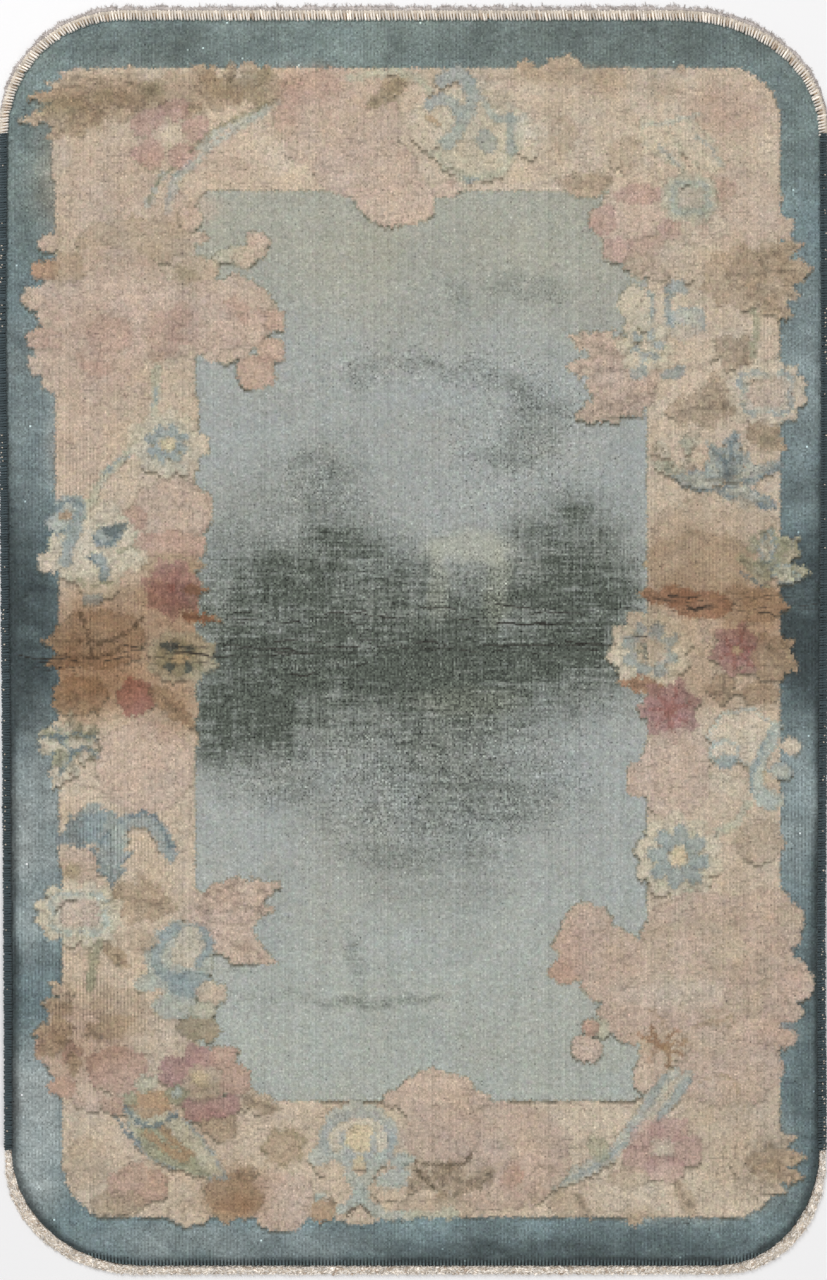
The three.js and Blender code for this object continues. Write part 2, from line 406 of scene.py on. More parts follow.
def draw_foliage(row):
    """Small toothed leaves of several yarns, scattered over an ellipse."""
    draw = np.random.default_rng(row.seed)
    for _ in range(row.count):
        angle, far = draw.uniform(0, 2 * math.pi), math.sqrt(draw.uniform())
        x = row.x + row.across * far * math.cos(angle)
        y = row.y + row.along * far * math.sin(angle)
        turn, size = draw.uniform(0, 2 * math.pi), row.size * draw.uniform(0.7, 1.3)
        yarn = row.yarns[draw.integers(len(row.yarns))]
        tip_x, tip_y = x + size * math.cos(turn), y + size * math.sin(turn)
        draw_leaf(Leaf(yarn, x, y, tip_x, tip_y, 0.7 * size, 3, row.edge))


def draw_ruffle(row):
    """Overlapping round petals of several yarns, as in a peony, the outer ones first."""
    draw = np.random.default_rng(row.seed)
    for k in range(row.petals):
        far = math.sqrt(1 - (k + 0.5) / row.petals)
        angle = 2.4 * k + draw.uniform(-0.3, 0.3)
        x = row.x + row.across * far * math.cos(angle)
        y = row.y + row.along * far * math.sin(angle)
        size = row.size * draw.uniform(0.8, 1.2)
        yarn = row.yarns[draw.integers(len(row.yarns))]
        draw_petal(Petal(yarn, x, y, size, 0.8 * size, math.degrees(angle) + 90, 5, 0.12), k % 5 == 0)


DRAW = {
    Petal: draw_petal,
    Leaf: draw_leaf,
    Stem: draw_stem,
    Wash: draw_wash,
    Star: draw_star,
    Rosette: draw_rosette,
    BoxFlower: draw_box_flower,
    Foliage: draw_foliage,
    Ruffle: draw_ruffle,
}


# The ground of the pattern: border, flower band and field
def rounded_box(x, y, left, bottom, right, top, corner):
    """How far inside a box with round corners."""
    across, along = (right - left) / 2 - corner, (top - bottom) / 2 - corner
    u = np.abs(x - (left + right) / 2) - across
    v = np.abs(y - (bottom + top) / 2) - along
    return corner - np.hypot(np.maximum(u, 0), np.maximum(v, 0)) - np.minimum(np.maximum(u, v), 0)


BAND_BOX = dict(left=-397, bottom=-645, right=408, top=636, corner=58)
BAND_SLANT = 0.0095
FIELD_BOX = dict(left=-242, bottom=-513, right=259, top=498, corner=16)


def knot_ground():
    """Knots the border, the flower band and the field, whose edges are straighter than the flowers'."""
    ground_x = chart.x + 1.2 * cloudy(chart.shape, (20, 6), 25)
    ground_y = chart.y + 1.2 * cloudy(chart.shape, (6, 20), 26)
    slanted_x = ground_x + BAND_SLANT * ground_y * smooth(-ground_x / 200)
    chart.colour[:] = srgb("border")
    band = rounded_box(slanted_x, ground_y, **BAND_BOX) > 0
    chart.colour[band] = srgb("cream")
    chart.region[band] = BAND
    chart.lift[band] = MOTIF_LIFT / 2
    field = rounded_box(ground_x, ground_y, **FIELD_BOX) > 0
    up = smooth((ground_y - 260) / 200)[..., None]
    down = smooth((-150 - ground_y) / 300)[..., None]
    tint = srgb("field") * (1 - up) + srgb("field_high") * up
    tint = tint * (1 - down) + srgb("field_low") * down
    chart.colour[field] = tint[field]
    chart.region[field] = FIELD
    chart.lift[field] = 0


# Flowers and leaves, in the order in which they lie over each other
TOP_LEFT = [
    Wash("dun", -330, 520, 90, 110, 0.7),
    Wash("pink", -340, 500, 70, 70, 0.5),
    Wash("pink", -190, 535, 70, 36, 0.5),
    Petal("brown", -335, 602, 66, 27, -4, 9, -0.2),
    Leaf("brown", -300, 596, -443, 577, 46, 6),
    Leaf("tan", -310, 604, -438, 603, 34, 5),
    Leaf("dun", -330, 606, -414, 619, 34, 3),
    Leaf("dun", -320, 614, -396, 631, 36, 3),
    Leaf("tan", -345, 585, -417, 554, 28, 3),
    Petal("brown", -245, 610, 62, 24, 0, 9, -0.15),
    Foliage(("brown", "dun", "tan", "dun"), -350, 600, 70, 20, 18, 26, 401),
    Foliage(("brown", "dun", "tan"), -220, 608, 64, 18, 14, 22, 402),
    Wash("olive", -395, 592, 26, 12, 0.7),
    Wash("olive", -345, 606, 16, 8, 0.7),
    Wash("olive", -291, 611, 16, 12, 0.9),
    Wash("olive", -215, 611, 15, 9, 0.7),
    Wash("shadow", -292, 612, 6, 6, 0.3),
    Petal("tan", -186, 636, 9, 9, 0, 3, -0.2),
    Petal("tan", -240, 637, 10, 5),
    Petal("olive", -168, 614, 34, 23, -12, 8, -0.18),
    Petal("dusty", -296, 574, 21, 18, 10, 3, 0.2),
    Petal("dusty", -268, 590, 18, 14, 0, 3, 0.2),
    Petal("dusty", -243, 568, 17, 15, 0, 3, 0.2),
    Petal("dusty", -296, 540, 19, 17, 0, 3, 0.2),
    Petal("dusty", -258, 536, 18, 17, 0, 3, 0.2),
    Petal("pale", -275, 562, 18, 14, 0, 5, 0.15),
    Stem("pale_blue", 7.5, [(-151, 598), (-182, 581), (-215, 568), (-240, 548)]),
    Stem("pale_blue", 7.5, [(-168, 584), (-200, 566), (-225, 550), (-246, 529)]),
    Stem("moss", 4, [(-151, 603), (-182, 586), (-215, 574), (-240, 554), (-252, 540)]),
    Stem("pale_blue", 7.5, [(-275, 520), (-287, 506), (-298, 484)]),
    Stem("moss", 4, [(-271, 523), (-283, 512), (-297, 488)]),
    Stem("pale_blue", 7.5, [(-246, 529), (-262, 512), (-270, 494), (-274, 476)]),
    Stem("blue", 4, [(-250, 532), (-266, 515), (-273, 496), (-276, 480)]),
    Wash("pink", -250, 480, 40, 20, 0.6),
]

TOP_MIDDLE = [
    Wash("pale", -150, 545, 50, 30, 0.5),
    Petal("pink", -85, 578, 72, 60, 0, 9, 0.08),
    Petal("pink", -55, 525, 62, 34, 0, 7, 0.08),
    Petal("blush", -19, 488, 47, 30, 0, 5, 0.1),
    Petal("blush", 36, 500, 16, 9),
    Petal("blush", -72, 497, 10, 7),
    Wash("rose", -112, 615, 38, 26, 0.6),
    Wash("rose", -140, 600, 20, 40, 0.5),
    Leaf("olive", -10, 622, -56, 588, 26, 3),
    Wash("tan", -25, 618, 18, 9, 0.5),
    Stem("pale_green", 9, [(-72, 624), (-40, 630), (-4, 628), (18, 612)]),
    Petal("celadon", 70, 568, 52, 58, 0, 9, 0.1),
    Petal("cream", 76, 572, 38, 40, 0, 7, 0.1),
    Stem("pale_green", 10, [(22, 540), (44, 521), (72, 515), (100, 524), (116, 548), (122, 572)]),
    Petal("pale", 15, 572, 22, 30, 10, 5, 0.1),
    Stem("blue", 15, [(30, 622), (50, 630), (63, 610), (60, 585), (45, 562), (37, 553)]),
    Stem("blue", 12, [(17, 595), (30, 602), (43, 597), (49, 583)]),
    Petal("orange", 20, 578, 10, 4, -30),
    Stem("blue", 9, [(92, 577), (106, 580), (122, 580)]),
    Stem("blue", 10, [(106, 578), (108, 560), (110, 542)]),
    Petal("blue", 81, 554, 11, 14, 30),
    Stem("pale_blue", 7, [(76, 604), (82, 590), (92, 578)]),
    Stem("pale", 8, [(32, 532), (60, 524), (88, 530)]),
    Petal("blue", 64, 512, 9, 4),
    Petal("cream", 92, 612, 14, 18, 0, 4, 0.1),
    Petal("pale", 125, 560, 14, 26, 10),
    Wash("pale_green", 75, 560, 60, 50, 0.3),
]

TOP_RIGHT = [
    Petal("tan", 125, 640, 12, 9, 0, 4, -0.2),
    Petal("tan", 164, 640, 24, 10, 0, 7, 0.25),
    Petal("tan", 297, 635, 7, 5),
    Wash("tan", 170, 628, 80, 14, 0.5),
    Wash("brown", 215, 618, 30, 16, 0.6),
    Wash("brown", 275, 612, 30, 14, 0.5),
    Wash("rose", 350, 590, 50, 34, 0.5),
    Petal("brown", 166, 562, 17, 24, 10, 6, -0.14),
    Petal("brown", 236, 540, 23, 22, 20, 7, -0.16),
    Leaf("celadon", 254, 580, 302, 520, 32, 0, "pale_green"),
    Leaf("celadon", 288, 584, 354, 506, 36, 0, "pale_green"),
    Stem("blue", 4, [(270, 552), (281, 541), (293, 529)]),
    Stem("blue", 4, [(314, 562), (330, 546), (344, 528)]),
    Stem("pale_blue", 4, [(254, 571), (282, 575), (318, 586)]),
    Petal("pink", 360, 480, 52, 48, 0, 9, 0.08),
    Petal("rose", 345, 500, 15, 12),
    Leaf("brown", 222, 510, 152, 509, 30, 2),
    Petal("brown", 190, 505, 24, 14),
    Petal("blush", 243, 466, 44, 38, 0, 7, 0.08),
    Petal("dusty", 250, 495, 30, 12, 0, 5, 0.14),
    Petal("dusty", 211, 468, 18, 18, 0, 4, 0.18),
    Petal("dusty", 226, 434, 19, 16, 0, 4, 0.18),
    Petal("rose", 259, 439, 20, 13, 0, 4, 0.16),
    Petal("blush", 250, 466, 26, 20, 0, 5, 0.12),
    Petal("dusty", 285, 457, 14, 13, 0, 4, 0.15),
    Petal("pink", 268, 418, 36, 18, 0, 7, 0.1),
    Petal("brown", 250, 420, 18, 11, 0, 4, -0.2),
    BoxFlower(307, 491, 34, 29, "pale_green", "blue", "pink"),
    Petal("pale", 340, 460, 10, 12),
]

RIGHT_UPPER = [
    Petal("pink", 412, 458, 12, 13, 0, 4, 0.12),
    Petal("brown", 372, 402, 58, 38, 0, 11, -0.14),
    Leaf("brown", 345, 405, 448, 412, 74, 5),
    Leaf("brown", 380, 420, 437, 443, 34, 3),
    Leaf("dun", 380, 392, 434, 380, 30, 3),
    Leaf("brown", 375, 385, 425, 356, 30, 3),
    Petal("cream", 300, 420, 26, 24, 0, 6, 0.1),
    Petal("celadon", 246, 373, 21, 23, 0, 5, 0.16),
    Petal("pale", 270, 362, 20, 30, 0, 4, 0.1),
    Petal("pale", 304, 376, 20, 17, 0, 4, 0.12),
    Petal("pale_blue", 302, 352, 26, 18, 20, 5, 0.14, "blue"),
    Stem("blue", 5, [(262, 388), (266, 370), (262, 350)]),
    Petal("blue", 291, 391, 13, 8, 10),
    Stem("blue", 7, [(284, 384), (282, 366), (288, 344), (300, 332)]),
    Petal("cream", 300, 325, 40, 26, 0, 7, 0.08),
    Petal("blush", 232, 292, 46, 38, 0, 9, -0.14),
    Leaf("blush", 262, 305, 167, 340, 50, 4),
    Leaf("blush", 262, 298, 164, 304, 46, 4),
    Leaf("pink", 272, 282, 173, 243, 52, 4),
    Leaf("pink", 268, 275, 214, 247, 30, 3),
    Rosette(258, 326, 33, 6, 0, "celadon", "blue", "pale", 0.6),
    Petal("blue", 250, 297, 11, 7),
    Petal("blue", 288, 297, 14, 7, 10),
    Leaf("brown", 376, 306, 334, 336, 46, 3),
    Leaf("brown", 366, 302, 372, 342, 32, 2),
    Stem("green", 7, [(378, 365), (381, 345), (378, 318)]),
    Leaf("brown", 360, 264, 275, 252, 56, 3),
    Leaf("brown", 346, 256, 330, 298, 44, 2),
    BoxFlower(392, 275, 46, 38, "pale", "blue", "pink"),
    Leaf("tan", 370, 236, 418, 212, 40, 2),
    Wash("olive", 392, 222, 14, 9),
    Foliage(("celadon", "pale_green", "dun"), 292, 206, 28, 22, 10, 22, 410),
    Leaf("pale_blue", 340, 166, 406, 148, 30, 3, "deep_blue"),
    Leaf("pale_blue", 348, 178, 286, 178, 28, 4, "blue"),
    Leaf("pale_blue", 350, 178, 414, 196, 28, 3, "blue"),
    Petal("pale_blue", 334, 188, 14, 10, 0, 4, 0.14, "blue"),
    Leaf("blue", 350, 176, 356, 236, 30, 3),
    Leaf("blue", 350, 184, 325, 220, 24, 2),
    Leaf("blue", 352, 184, 371, 210, 22, 2),
    Stem("deep_blue", 4, [(348, 172), (351, 200), (355, 226)]),
    Stem("deep_blue", 4, [(350, 194), (338, 206), (330, 214)]),
    Stem("deep_blue", 4, [(349, 160), (372, 152), (404, 144)]),
    Stem("deep_blue", 4.5, [(289, 180), (298, 170), (320, 167), (346, 169), (378, 178), (410, 194)]),
]

RIGHT_MIDDLE = [
    Petal("dun", 335, 120, 72, 40, 0, 9, 0.07),
    Petal("brown", 318, 82, 62, 38, 0, 9, 0.07),
    Foliage(("celadon", "pale_green", "green"), 396, 90, 24, 30, 20, 26, 409, "green"),
    Leaf("pale_green", 395, 78, 434, 66, 28, 3, "blue"),
    Leaf("celadon", 392, 84, 396, 128, 26, 3, "blue"),
    Stem("deep_blue", 4, [(364, 72), (378, 66), (392, 52)]),
    Leaf("rust", 318, 46, 243, 50, 30, 3),
    Petal("tan", 370, 38, 48, 22, 0, 7, -0.1),
    Petal("rust", 320, 38, 34, 16),
    Rosette(263, -12, 47, 8, 10, "celadon", "blue", "dun", 0.68, 0.5),
    Star("mauve", "red", "gold", 360, -13, 34, 6, 15),
    Petal("tan", 398, -20, 24, 30, 0, 6, -0.14),
    Leaf("tan", 392, -8, 430, -38, 26, 3),
    Leaf("tan", 392, -10, 426, -2, 18, 2),
    Leaf("brown", 344, -38, 342, -76, 38, 2),
    Petal("tan", 385, -60, 24, 14, 0, 6, -0.14),
    Leaf("rust", 282, -55, 223, -47, 22, 2),
    Star("mauve", "red", "red", 284, -80, 40, 7, 20),
]

RIGHT_LOWER = [
    Petal("blush", 290, -150, 42, 52, 0, 7, 0.07),
    Petal("pink", 246, -156, 12, 20, 0, 4, 0.16),
    Petal("pale", 366, -108, 40, 32, 0, 7, 0.12, "pale_blue"),
    Petal("pale", 345, -126, 17, 16, 0, 3, 0.1, "pale_blue"),
    Petal("blue", 347, -136, 11, 8),
    Petal("pale", 340, -160, 15, 13, 0, 3, 0.1),
    Petal("pale", 360, -168, 17, 13, 0, 3, 0.1),
    Petal("gold", 384, -150, 12, 15),
    Stem("pale_blue", 16, [(402, -100), (392, -122), (381, -148), (384, -170), (398, -180)]),
    Stem("blue", 5, [(396, -104), (386, -126), (375, -148), (376, -168)]),
    Petal("pale", 420, -118, 11, 10),
    Petal("pale_blue", 409, -147, 14, 11, 0, 0, 0, "blue"),
    Petal("cream", 396, -158, 9, 9),
    Petal("pale_blue", 396, -178, 16, 11),
    Stem("pale_green", 10, [(372, -182), (358, -206), (338, -214)]),
    Petal("dun", 385, -226, 30, 26, 0, 7, -0.1),
    Rosette(294, -243, 49, 8, 22, "celadon", "blue", "gold", 0.72, 0.28),
    Stem("pale_green", 12, [(306, -284), (298, -300), (288, -326)]),
    Petal("pink", 320, -330, 70, 50, 0, 9, 0.08),
    Petal("pink", 392, -310, 40, 34, 0, 9, 0.14),
    Petal("dun", 418, -312, 16, 20, 0, 6, 0.16),
    Petal("pink", 418, -333, 16, 12, 0, 5, 0.16),
    Petal("blush", 310, -385, 108, 62, 0, 11, 0.06),
    Petal("pink", 192, -318, 29, 26, 0, 5, 0.12),
    Petal("pink", 178, -340, 25, 20, 0, 5, 0.12),
    Petal("rose", 172, -370, 24, 16, 0, 5, 0.14),
    Petal("pink", 215, -355, 42, 38, 0, 7, 0.08),
    Petal("pink", 208, -388, 24, 14, 0, 5, 0.14),
    Petal("pink", 228, -415, 24, 24, 0, 5, 0.12),
    Petal("pink", 262, -432, 46, 22, 0, 7, 0.1),
    Petal("pink", 395, -375, 44, 36, 0, 9, 0.1),
    Petal("blush", 426, -385, 20, 20, 0, 5, 0.14),
    Petal("pink", 410, -416, 27, 11, 0, 4, 0.12),
    Petal("pink", 402, -445, 26, 13, 0, 5, 0.14),
    Petal("blush", 340, -430, 66, 44, 0, 9, 0.07),
    Petal("pink", 350, -480, 62, 40, 0, 9, 0.07),
    Petal("pale_green", 208, -432, 10, 12, 20),
    Petal("rose", 196, -432, 9, 10),
    Petal("blush", 192, -457, 19, 16, 0, 4, 0.12),
    Petal("dun", 279, -454, 34, 22, 0, 9, -0.22),
    Stem("stain", 4, [(252, -440), (264, -448), (276, -452), (304, -450)]),
    Stem("stain", 4, [(276, -452), (282, -443), (294, -437)]),
    Stem("stain", 4, [(276, -452), (266, -460), (264, -472)]),
    Stem("stain", 4, [(276, -452), (284, -462), (282, -476)]),
    Stem("stain", 4, [(276, -452), (268, -443), (262, -434)]),
    Stem("stain", 4, [(276, -452), (292, -460), (302, -464)]),
]

BOTTOM_RIGHT = [
    Wash("dun", 345, -560, 70, 60, 0.5),
    Petal("blush", 262, -480, 16, 26, -20),
    Stem("pale_blue", 15, [(290, -484), (266, -514), (246, -540), (222, -570), (190, -592), (148, -608)]),
    Stem("pale_blue", 13, [(304, -486), (288, -508), (270, -526)]),
    Stem("blue", 5, [(232, -562), (212, -580), (186, -596), (152, -610)]),
    Petal("green", 205, -568, 12, 16, 40),
    Petal("dusty", 250, -580, 22, 18, 0, 4, 0.16),
    Petal("dusty", 258, -552, 22, 18, 0, 4, 0.16),
    Petal("dusty", 285, -546, 24, 17, 0, 4, 0.16),
    Petal("dusty", 302, -570, 22, 20, 0, 4, 0.16),
    Petal("dusty", 278, -590, 26, 17, 0, 4, 0.16),
    Petal("pale", 276, -566, 16, 12, 0, 4, 0.2),
    Petal("brown", 238, -600, 26, 14, 0, 5, -0.14),
    Petal("dun", 385, -585, 34, 30, 0, 8, -0.14),
    Leaf("dun", 375, -575, 426, -553, 34, 3),
    Leaf("tan", 370, -582, 440, -576, 36, 3),
    Leaf("tan", 375, -590, 437, -600, 34, 3),
    Leaf("dun", 370, -598, 414, -616, 30, 3),
    Leaf("dun", 360, -600, 388, -632, 28, 2),
    Petal("brown", 171, -630, 22, 17, 0, 6, -0.16),
    Leaf("brown", 178, -618, 198, -650, 18, 2),
    Petal("tan", 246, -646, 12, 8, 0, 3, -0.2),
    Wash("tan", 250, -640, 30, 8, 0.5),
    Stem("blue", 9, [(278, -488), (256, -520), (240, -545)]),
    Stem("blue", 9, [(304, -490), (288, -515), (272, -532)]),
    Stem("cream", 7, [(292, -490), (275, -515), (262, -530)]),
    Ruffle(("pink", "blush", "dun"), 330, -370, 70, 60, 18, 26, 405),
    Wash("pale", 300, -392, 40, 22, 0.5),
    Wash("pale", 350, -348, 28, 14, 0.4),
    Wash("cream", 245, -388, 28, 18, 0.5),
    Wash("dun", 340, -322, 50, 20, 0.5),
    Wash("rose", 400, -440, 26, 20, 0.4),
    Wash("rose", 178, -345, 20, 34, 0.4),
    Wash("rose", 420, -385, 16, 26, 0.3),
    Wash("dun", 330, -450, 40, 18, 0.5),
    Wash("pale", 300, -620, 110, 30, 0.4),
    Wash("pale", 215, -530, 60, 18, 0.4),
    Leaf("brown", 292, -604, 314, -648, 26, 2),
    Stem("tan", 4, [(262, -412), (272, -420), (280, -434)]),
    Stem("tan", 4, [(312, -432), (324, -426), (342, -424), (358, -416)]),
    Stem("tan", 4, [(318, -492), (336, -486), (356, -492), (362, -504)]),
]

BOTTOM_MIDDLE = [
    Petal("pink", 95, -575, 82, 62, 0, 9, 0.06),
    Petal("blush", 25, -512, 46, 34, 0, 5, 0.1),
    Petal("blush", 70, -512, 14, 9),
    Petal("blush", -24, -512, 10, 8),
    Petal("pink", 30, -550, 46, 34, 0, 7, 0.08),
    Ruffle(("pink", "rose", "blush"), 114, -600, 28, 24, 10, 15, 411),
    Petal("blush", 150, -575, 16, 14, 0, 4, 0.12),
    Petal("dun", 30, -595, 48, 18, -4, 8, -0.14),
    Leaf("brown", 18, -592, 82, -612, 28, 3),
    Leaf("brown", 12, -592, -10, -620, 22, 2),
    Foliage(("brown", "tan", "dun"), 45, -606, 36, 10, 8, 18, 408),
    Petal("dun", 25, -632, 46, 12),
    Stem("umber", 4, [(-14, -585), (6, -583), (28, -584), (50, -586), (64, -574)]),
    Stem("umber", 4, [(0, -590), (12, -602), (26, -612)]),
    Stem("umber", 4, [(-94, -625), (-84, -636), (-78, -643)]),
    Stem("umber", 4, [(-62, -628), (-50, -636), (-42, -643)]),
    Petal("pale_blue", -62, -552, 46, 36, 0, 9, 0.1),
    Petal("pale", -62, -552, 38, 28, 0, 7, 0.08),
    Stem("faded", 9, [
        (-101, -568), (-98, -546), (-82, -533), (-60, -529), (-40, -535), (-27, -551), (-27, -572)]),
    Petal("gold", -60, -556, 19, 14),
    Stem("faded", 8, [(-80, -552), (-75, -570), (-60, -578), (-47, -571), (-44, -553)]),
    Stem("pale_blue", 13, [(-84, -576), (-74, -594), (-63, -610), (-62, -622)]),
    Stem("pale_blue", 13, [(-36, -578), (-48, -594), (-58, -610), (-60, -622)]),
    Petal("gold", -61, -584, 8, 8),
    Petal("pale_blue", -105, -577, 14, 11),
    Petal("cream", -92, -592, 16, 10),
    Petal("pale_blue", -14, -580, 12, 9),
    Petal("pale_blue", -24, -602, 20, 12, 20),
    Petal("cream", -28, -618, 20, 8, -10),
    Petal("cream", -61, -640, 30, 12),
    Stem("pale_blue", 12, [(-63, -616), (-72, -632), (-88, -636), (-104, -624)]),
    Stem("pale_blue", 12, [(-58, -616), (-50, -632), (-34, -640), (-6, -642)]),
    Stem("pale_green", 10, [(-6, -641), (20, -641), (44, -640)]),
    Petal("orange", -102, -637, 18, 14, 20, 5, -0.16),
    Stem("umber", 4, [(-76, -642), (-61, -630), (-46, -644)]),
]

BOTTOM_LEFT = [
    Petal("blush", -150, -624, 42, 34, 0, 5, 0.14),
    Petal("blush", -140, -648, 20, 11, 0, 3, 0.14),
    Petal("brown", -146, -566, 28, 22, 20, 7, -0.18, "olive"),
    Petal("tan", -203, -622, 36, 30, 0, 7, -0.14),
    Wash("stain", -200, -630, 24, 14, 0.4),
    Leaf("brown", -200, -600, -172, -592, 20, 2),
    Petal("cream", -250, -640, 26, 14, 0, 5, 0.1),
    Petal("dun", -365, -585, 26, 30, 0, 5, 0.1),
    Petal("rose", -308, -608, 36, 24, 0, 6, 0.12),
    Petal("brown", -330, -628, 32, 14, 0, 5, 0.1),
    Leaf("dun", -205, -505, -143, -528, 34, 2),
    Leaf("brown", -192, -512, -144, -529, 18, 2),
    Leaf("pale_green", -322, -524, -205, -604, 56, 0, "blue"),
    Leaf("green", -310, -545, -225, -602, 30, 0),
    Stem("orange", 8, [(-300, -548), (-278, -566), (-256, -580)]),
    Stem("orange", 7, [(-282, -544), (-264, -562), (-248, -574)]),
    Stem("deep_blue", 5, [(-322, -520), (-310, -536), (-288, -542), (-266, -530)]),
    Stem("deep_blue", 5, [(-332, -532), (-322, -548), (-306, -560)]),
    Petal("orange", -294, -516, 24, 17, 0, 5, 0.12),
    Petal("pale_green", -298, -494, 14, 11, 0, 5, 0.16),
    Petal("green", -264, -508, 14, 12, 0, 5, 0.16),
    Petal("pale_blue", -265, -507, 7, 6),
    Petal("green", -316, -512, 9, 8),
    Petal("brown", -216, -540, 24, 20, -30, 5, -0.14),
    Petal("mauve", -266, -482, 21, 18, 0, 4, 0.14),
    Petal("mauve", -240, -466, 19, 16, 0, 4, 0.14),
    Petal("rose", -212, -466, 18, 14, 0, 4, 0.14),
    Petal("rose", -200, -491, 21, 19, 0, 4, 0.14),
    Petal("mauve", -213, -520, 20, 14, 0, 4, 0.14),
    Petal("mauve", -240, -524, 19, 15, 0, 4, 0.14),
    Petal("dun", -236, -494, 24, 22, 0, 5, 0.14),
    Petal("gold", -238, -490, 12, 10, 0, 5, 0.1),
    Wash("olive", -232, -505, 18, 14, 0.4),
]

LEFT_LOWER = [
    Petal("pink", -368, -452, 58, 46, 0, 11, -0.12),
    Foliage(("rose", "tan", "pink", "dun"), -372, -446, 40, 30, 12, 26, 418),
    Leaf("tan", -378, -432, -428, -441, 32, 3),
    Leaf("tan", -385, -446, -424, -463, 24, 2),
    Leaf("tan", -378, -412, -416, -405, 28, 3),
    Leaf("dun", -380, -402, -407, -382, 24, 2),
    Petal("rose", -330, -480, 34, 28, 0, 6, 0.1),
    Petal("rose", -392, -499, 18, 12, 0, 3, 0.14),
    Petal("pink", -362, -513, 21, 12, 0, 3, 0.14),
    Petal("rose", -334, -519, 17, 11, 0, 3, 0.14),
    Petal("dun", -328, -408, 32, 22, 0, 6, -0.12),
    Petal("brown", -332, -432, 30, 14, 0, 6, -0.12),
    Petal("cream", -290, -440, 34, 24, 0, 5, 0.08),
    Petal("olive", -240, -434, 28, 16, 0, 6, -0.16),
    Petal("blush", -215, -308, 46, 34, 0, 8, -0.12),
    Leaf("blush", -245, -300, -143, -272, 44, 3),
    Leaf("blush", -240, -305, -148, -301, 34, 3),
    Leaf("blush", -245, -318, -150, -363, 52, 2),
    Leaf("pink", -235, -285, -184, -268, 24, 2),
    Petal("pale_blue", -262, -355, 40, 42, 0, 9, 0.1),
    Petal("pale", -252, -342, 18, 24, -20, 4, 0.1),
    Stem("blue", 13, [(-268, -322), (-286, -342), (-282, -368), (-262, -380)]),
    Stem("blue", 9, [(-236, -322), (-228, -342), (-240, -362)]),
    Petal("pale_blue", -298, -384, 13, 9),
    Petal("blue", -250, -384, 26, 16, 0, 4, 0.1),
    Petal("pale_blue", -268, -408, 26, 17, 0, 5, 0.12),
    Petal("pale_green", -236, -414, 16, 10),
    Petal("cream", -226, -394, 19, 12, 0, 4, 0.1),
    Leaf("brown", -338, -284, -264, -300, 62, 3),
    Petal("dun", -310, -335, 26, 14, 0, 5, -0.12),
    Leaf("tan", -345, -340, -318, -366, 24, 2),
    Stem("green", 10, [(-352, -336), (-358, -360), (-362, -388)]),
    BoxFlower(-373, -305, 49, 36, "celadon", "pale_blue", "blush"),
]

LEFT_MIDDLE = [
    Petal("pink", -370, -250, 24, 20, 0, 5, 0.1),
    Wash("olive", -380, -258, 14, 10),
    Petal("blush", -300, -142, 56, 54, 0, 9, 0.06),
    Leaf("deep_blue", -345, -200, -400, -228, 46, 4),
    Leaf("blue", -350, -206, -366, -182, 36, 2),
    Petal("blue", -346, -212, 26, 22, 0, 6, -0.12),
    Leaf("blue", -335, -214, -338, -278, 48, 3, "deep_blue"),
    Stem("blue", 17, [(-322, -206), (-304, -200), (-288, -208), (-273, -238)]),
    Stem("deep_blue", 4, [(-318, -200), (-302, -194), (-284, -202), (-270, -232)]),
    Petal("pale_blue", -328, -222, 10, 16),
    Petal("celadon", -386, -110, 36, 20, 0, 9, -0.2),
    Leaf("celadon", -384, -126, -402, -168, 30, 2),
    Foliage(("celadon", "pale_green", "green"), -382, -122, 24, 26, 24, 18, 416),
    Stem("deep_blue", 4, [(-416, -108), (-395, -111), (-374, -106), (-352, -112)]),
    Stem("deep_blue", 4, [(-392, -112), (-384, -130), (-394, -150)]),
    Stem("deep_blue", 4, [(-384, -128), (-366, -122), (-352, -130)]),
    Stem("deep_blue", 4, [(-402, -98), (-394, -110)]),
    Petal("tan", -372, -62, 34, 24, 0, 7, -0.14),
    Leaf("tan", -372, -66, -408, -76, 28, 2),
    Petal("red", -311, -64, 23, 21, 0, 5, 0.16),
    Leaf("tan", -296, -52, -240, -102, 28, 2),
    Petal("tan", -350, 0, 54, 36, 0, 9, -0.1),
    Leaf("tan", -372, -2, -418, -2, 30, 2),
    Leaf("tan", -372, -18, -412, -30, 22, 2),
    Stem("umber", 4, [(-372, 28), (-366, 8), (-360, -16)]),
    Stem("umber", 4, [(-366, 0), (-340, -2), (-314, 12), (-304, 24)]),
    Stem("umber", 4, [(-398, -16), (-378, -18), (-352, -20), (-330, -12)]),
    Petal("pale_green", -259, -20, 41, 30, 0, 8, 0.16),
    Petal("green", -262, -21, 28, 20, 0, 6, 0.16),
    Petal("navy", -272, -9, 9, 5),
    Petal("navy", -252, -11, 8, 4),
    Petal("navy", -273, -32, 7, 4),
    Petal("navy", -252, -32, 5, 5),
    Petal("gold", -262, -21, 9, 6),
    Star("dusty", "mauve", "red", -270, 56, 38, 7, 12),
    Leaf("rust", -258, 56, -229, 54, 16, 1),
    Leaf("rust", -262, 26, -213, 21, 16, 2),
]

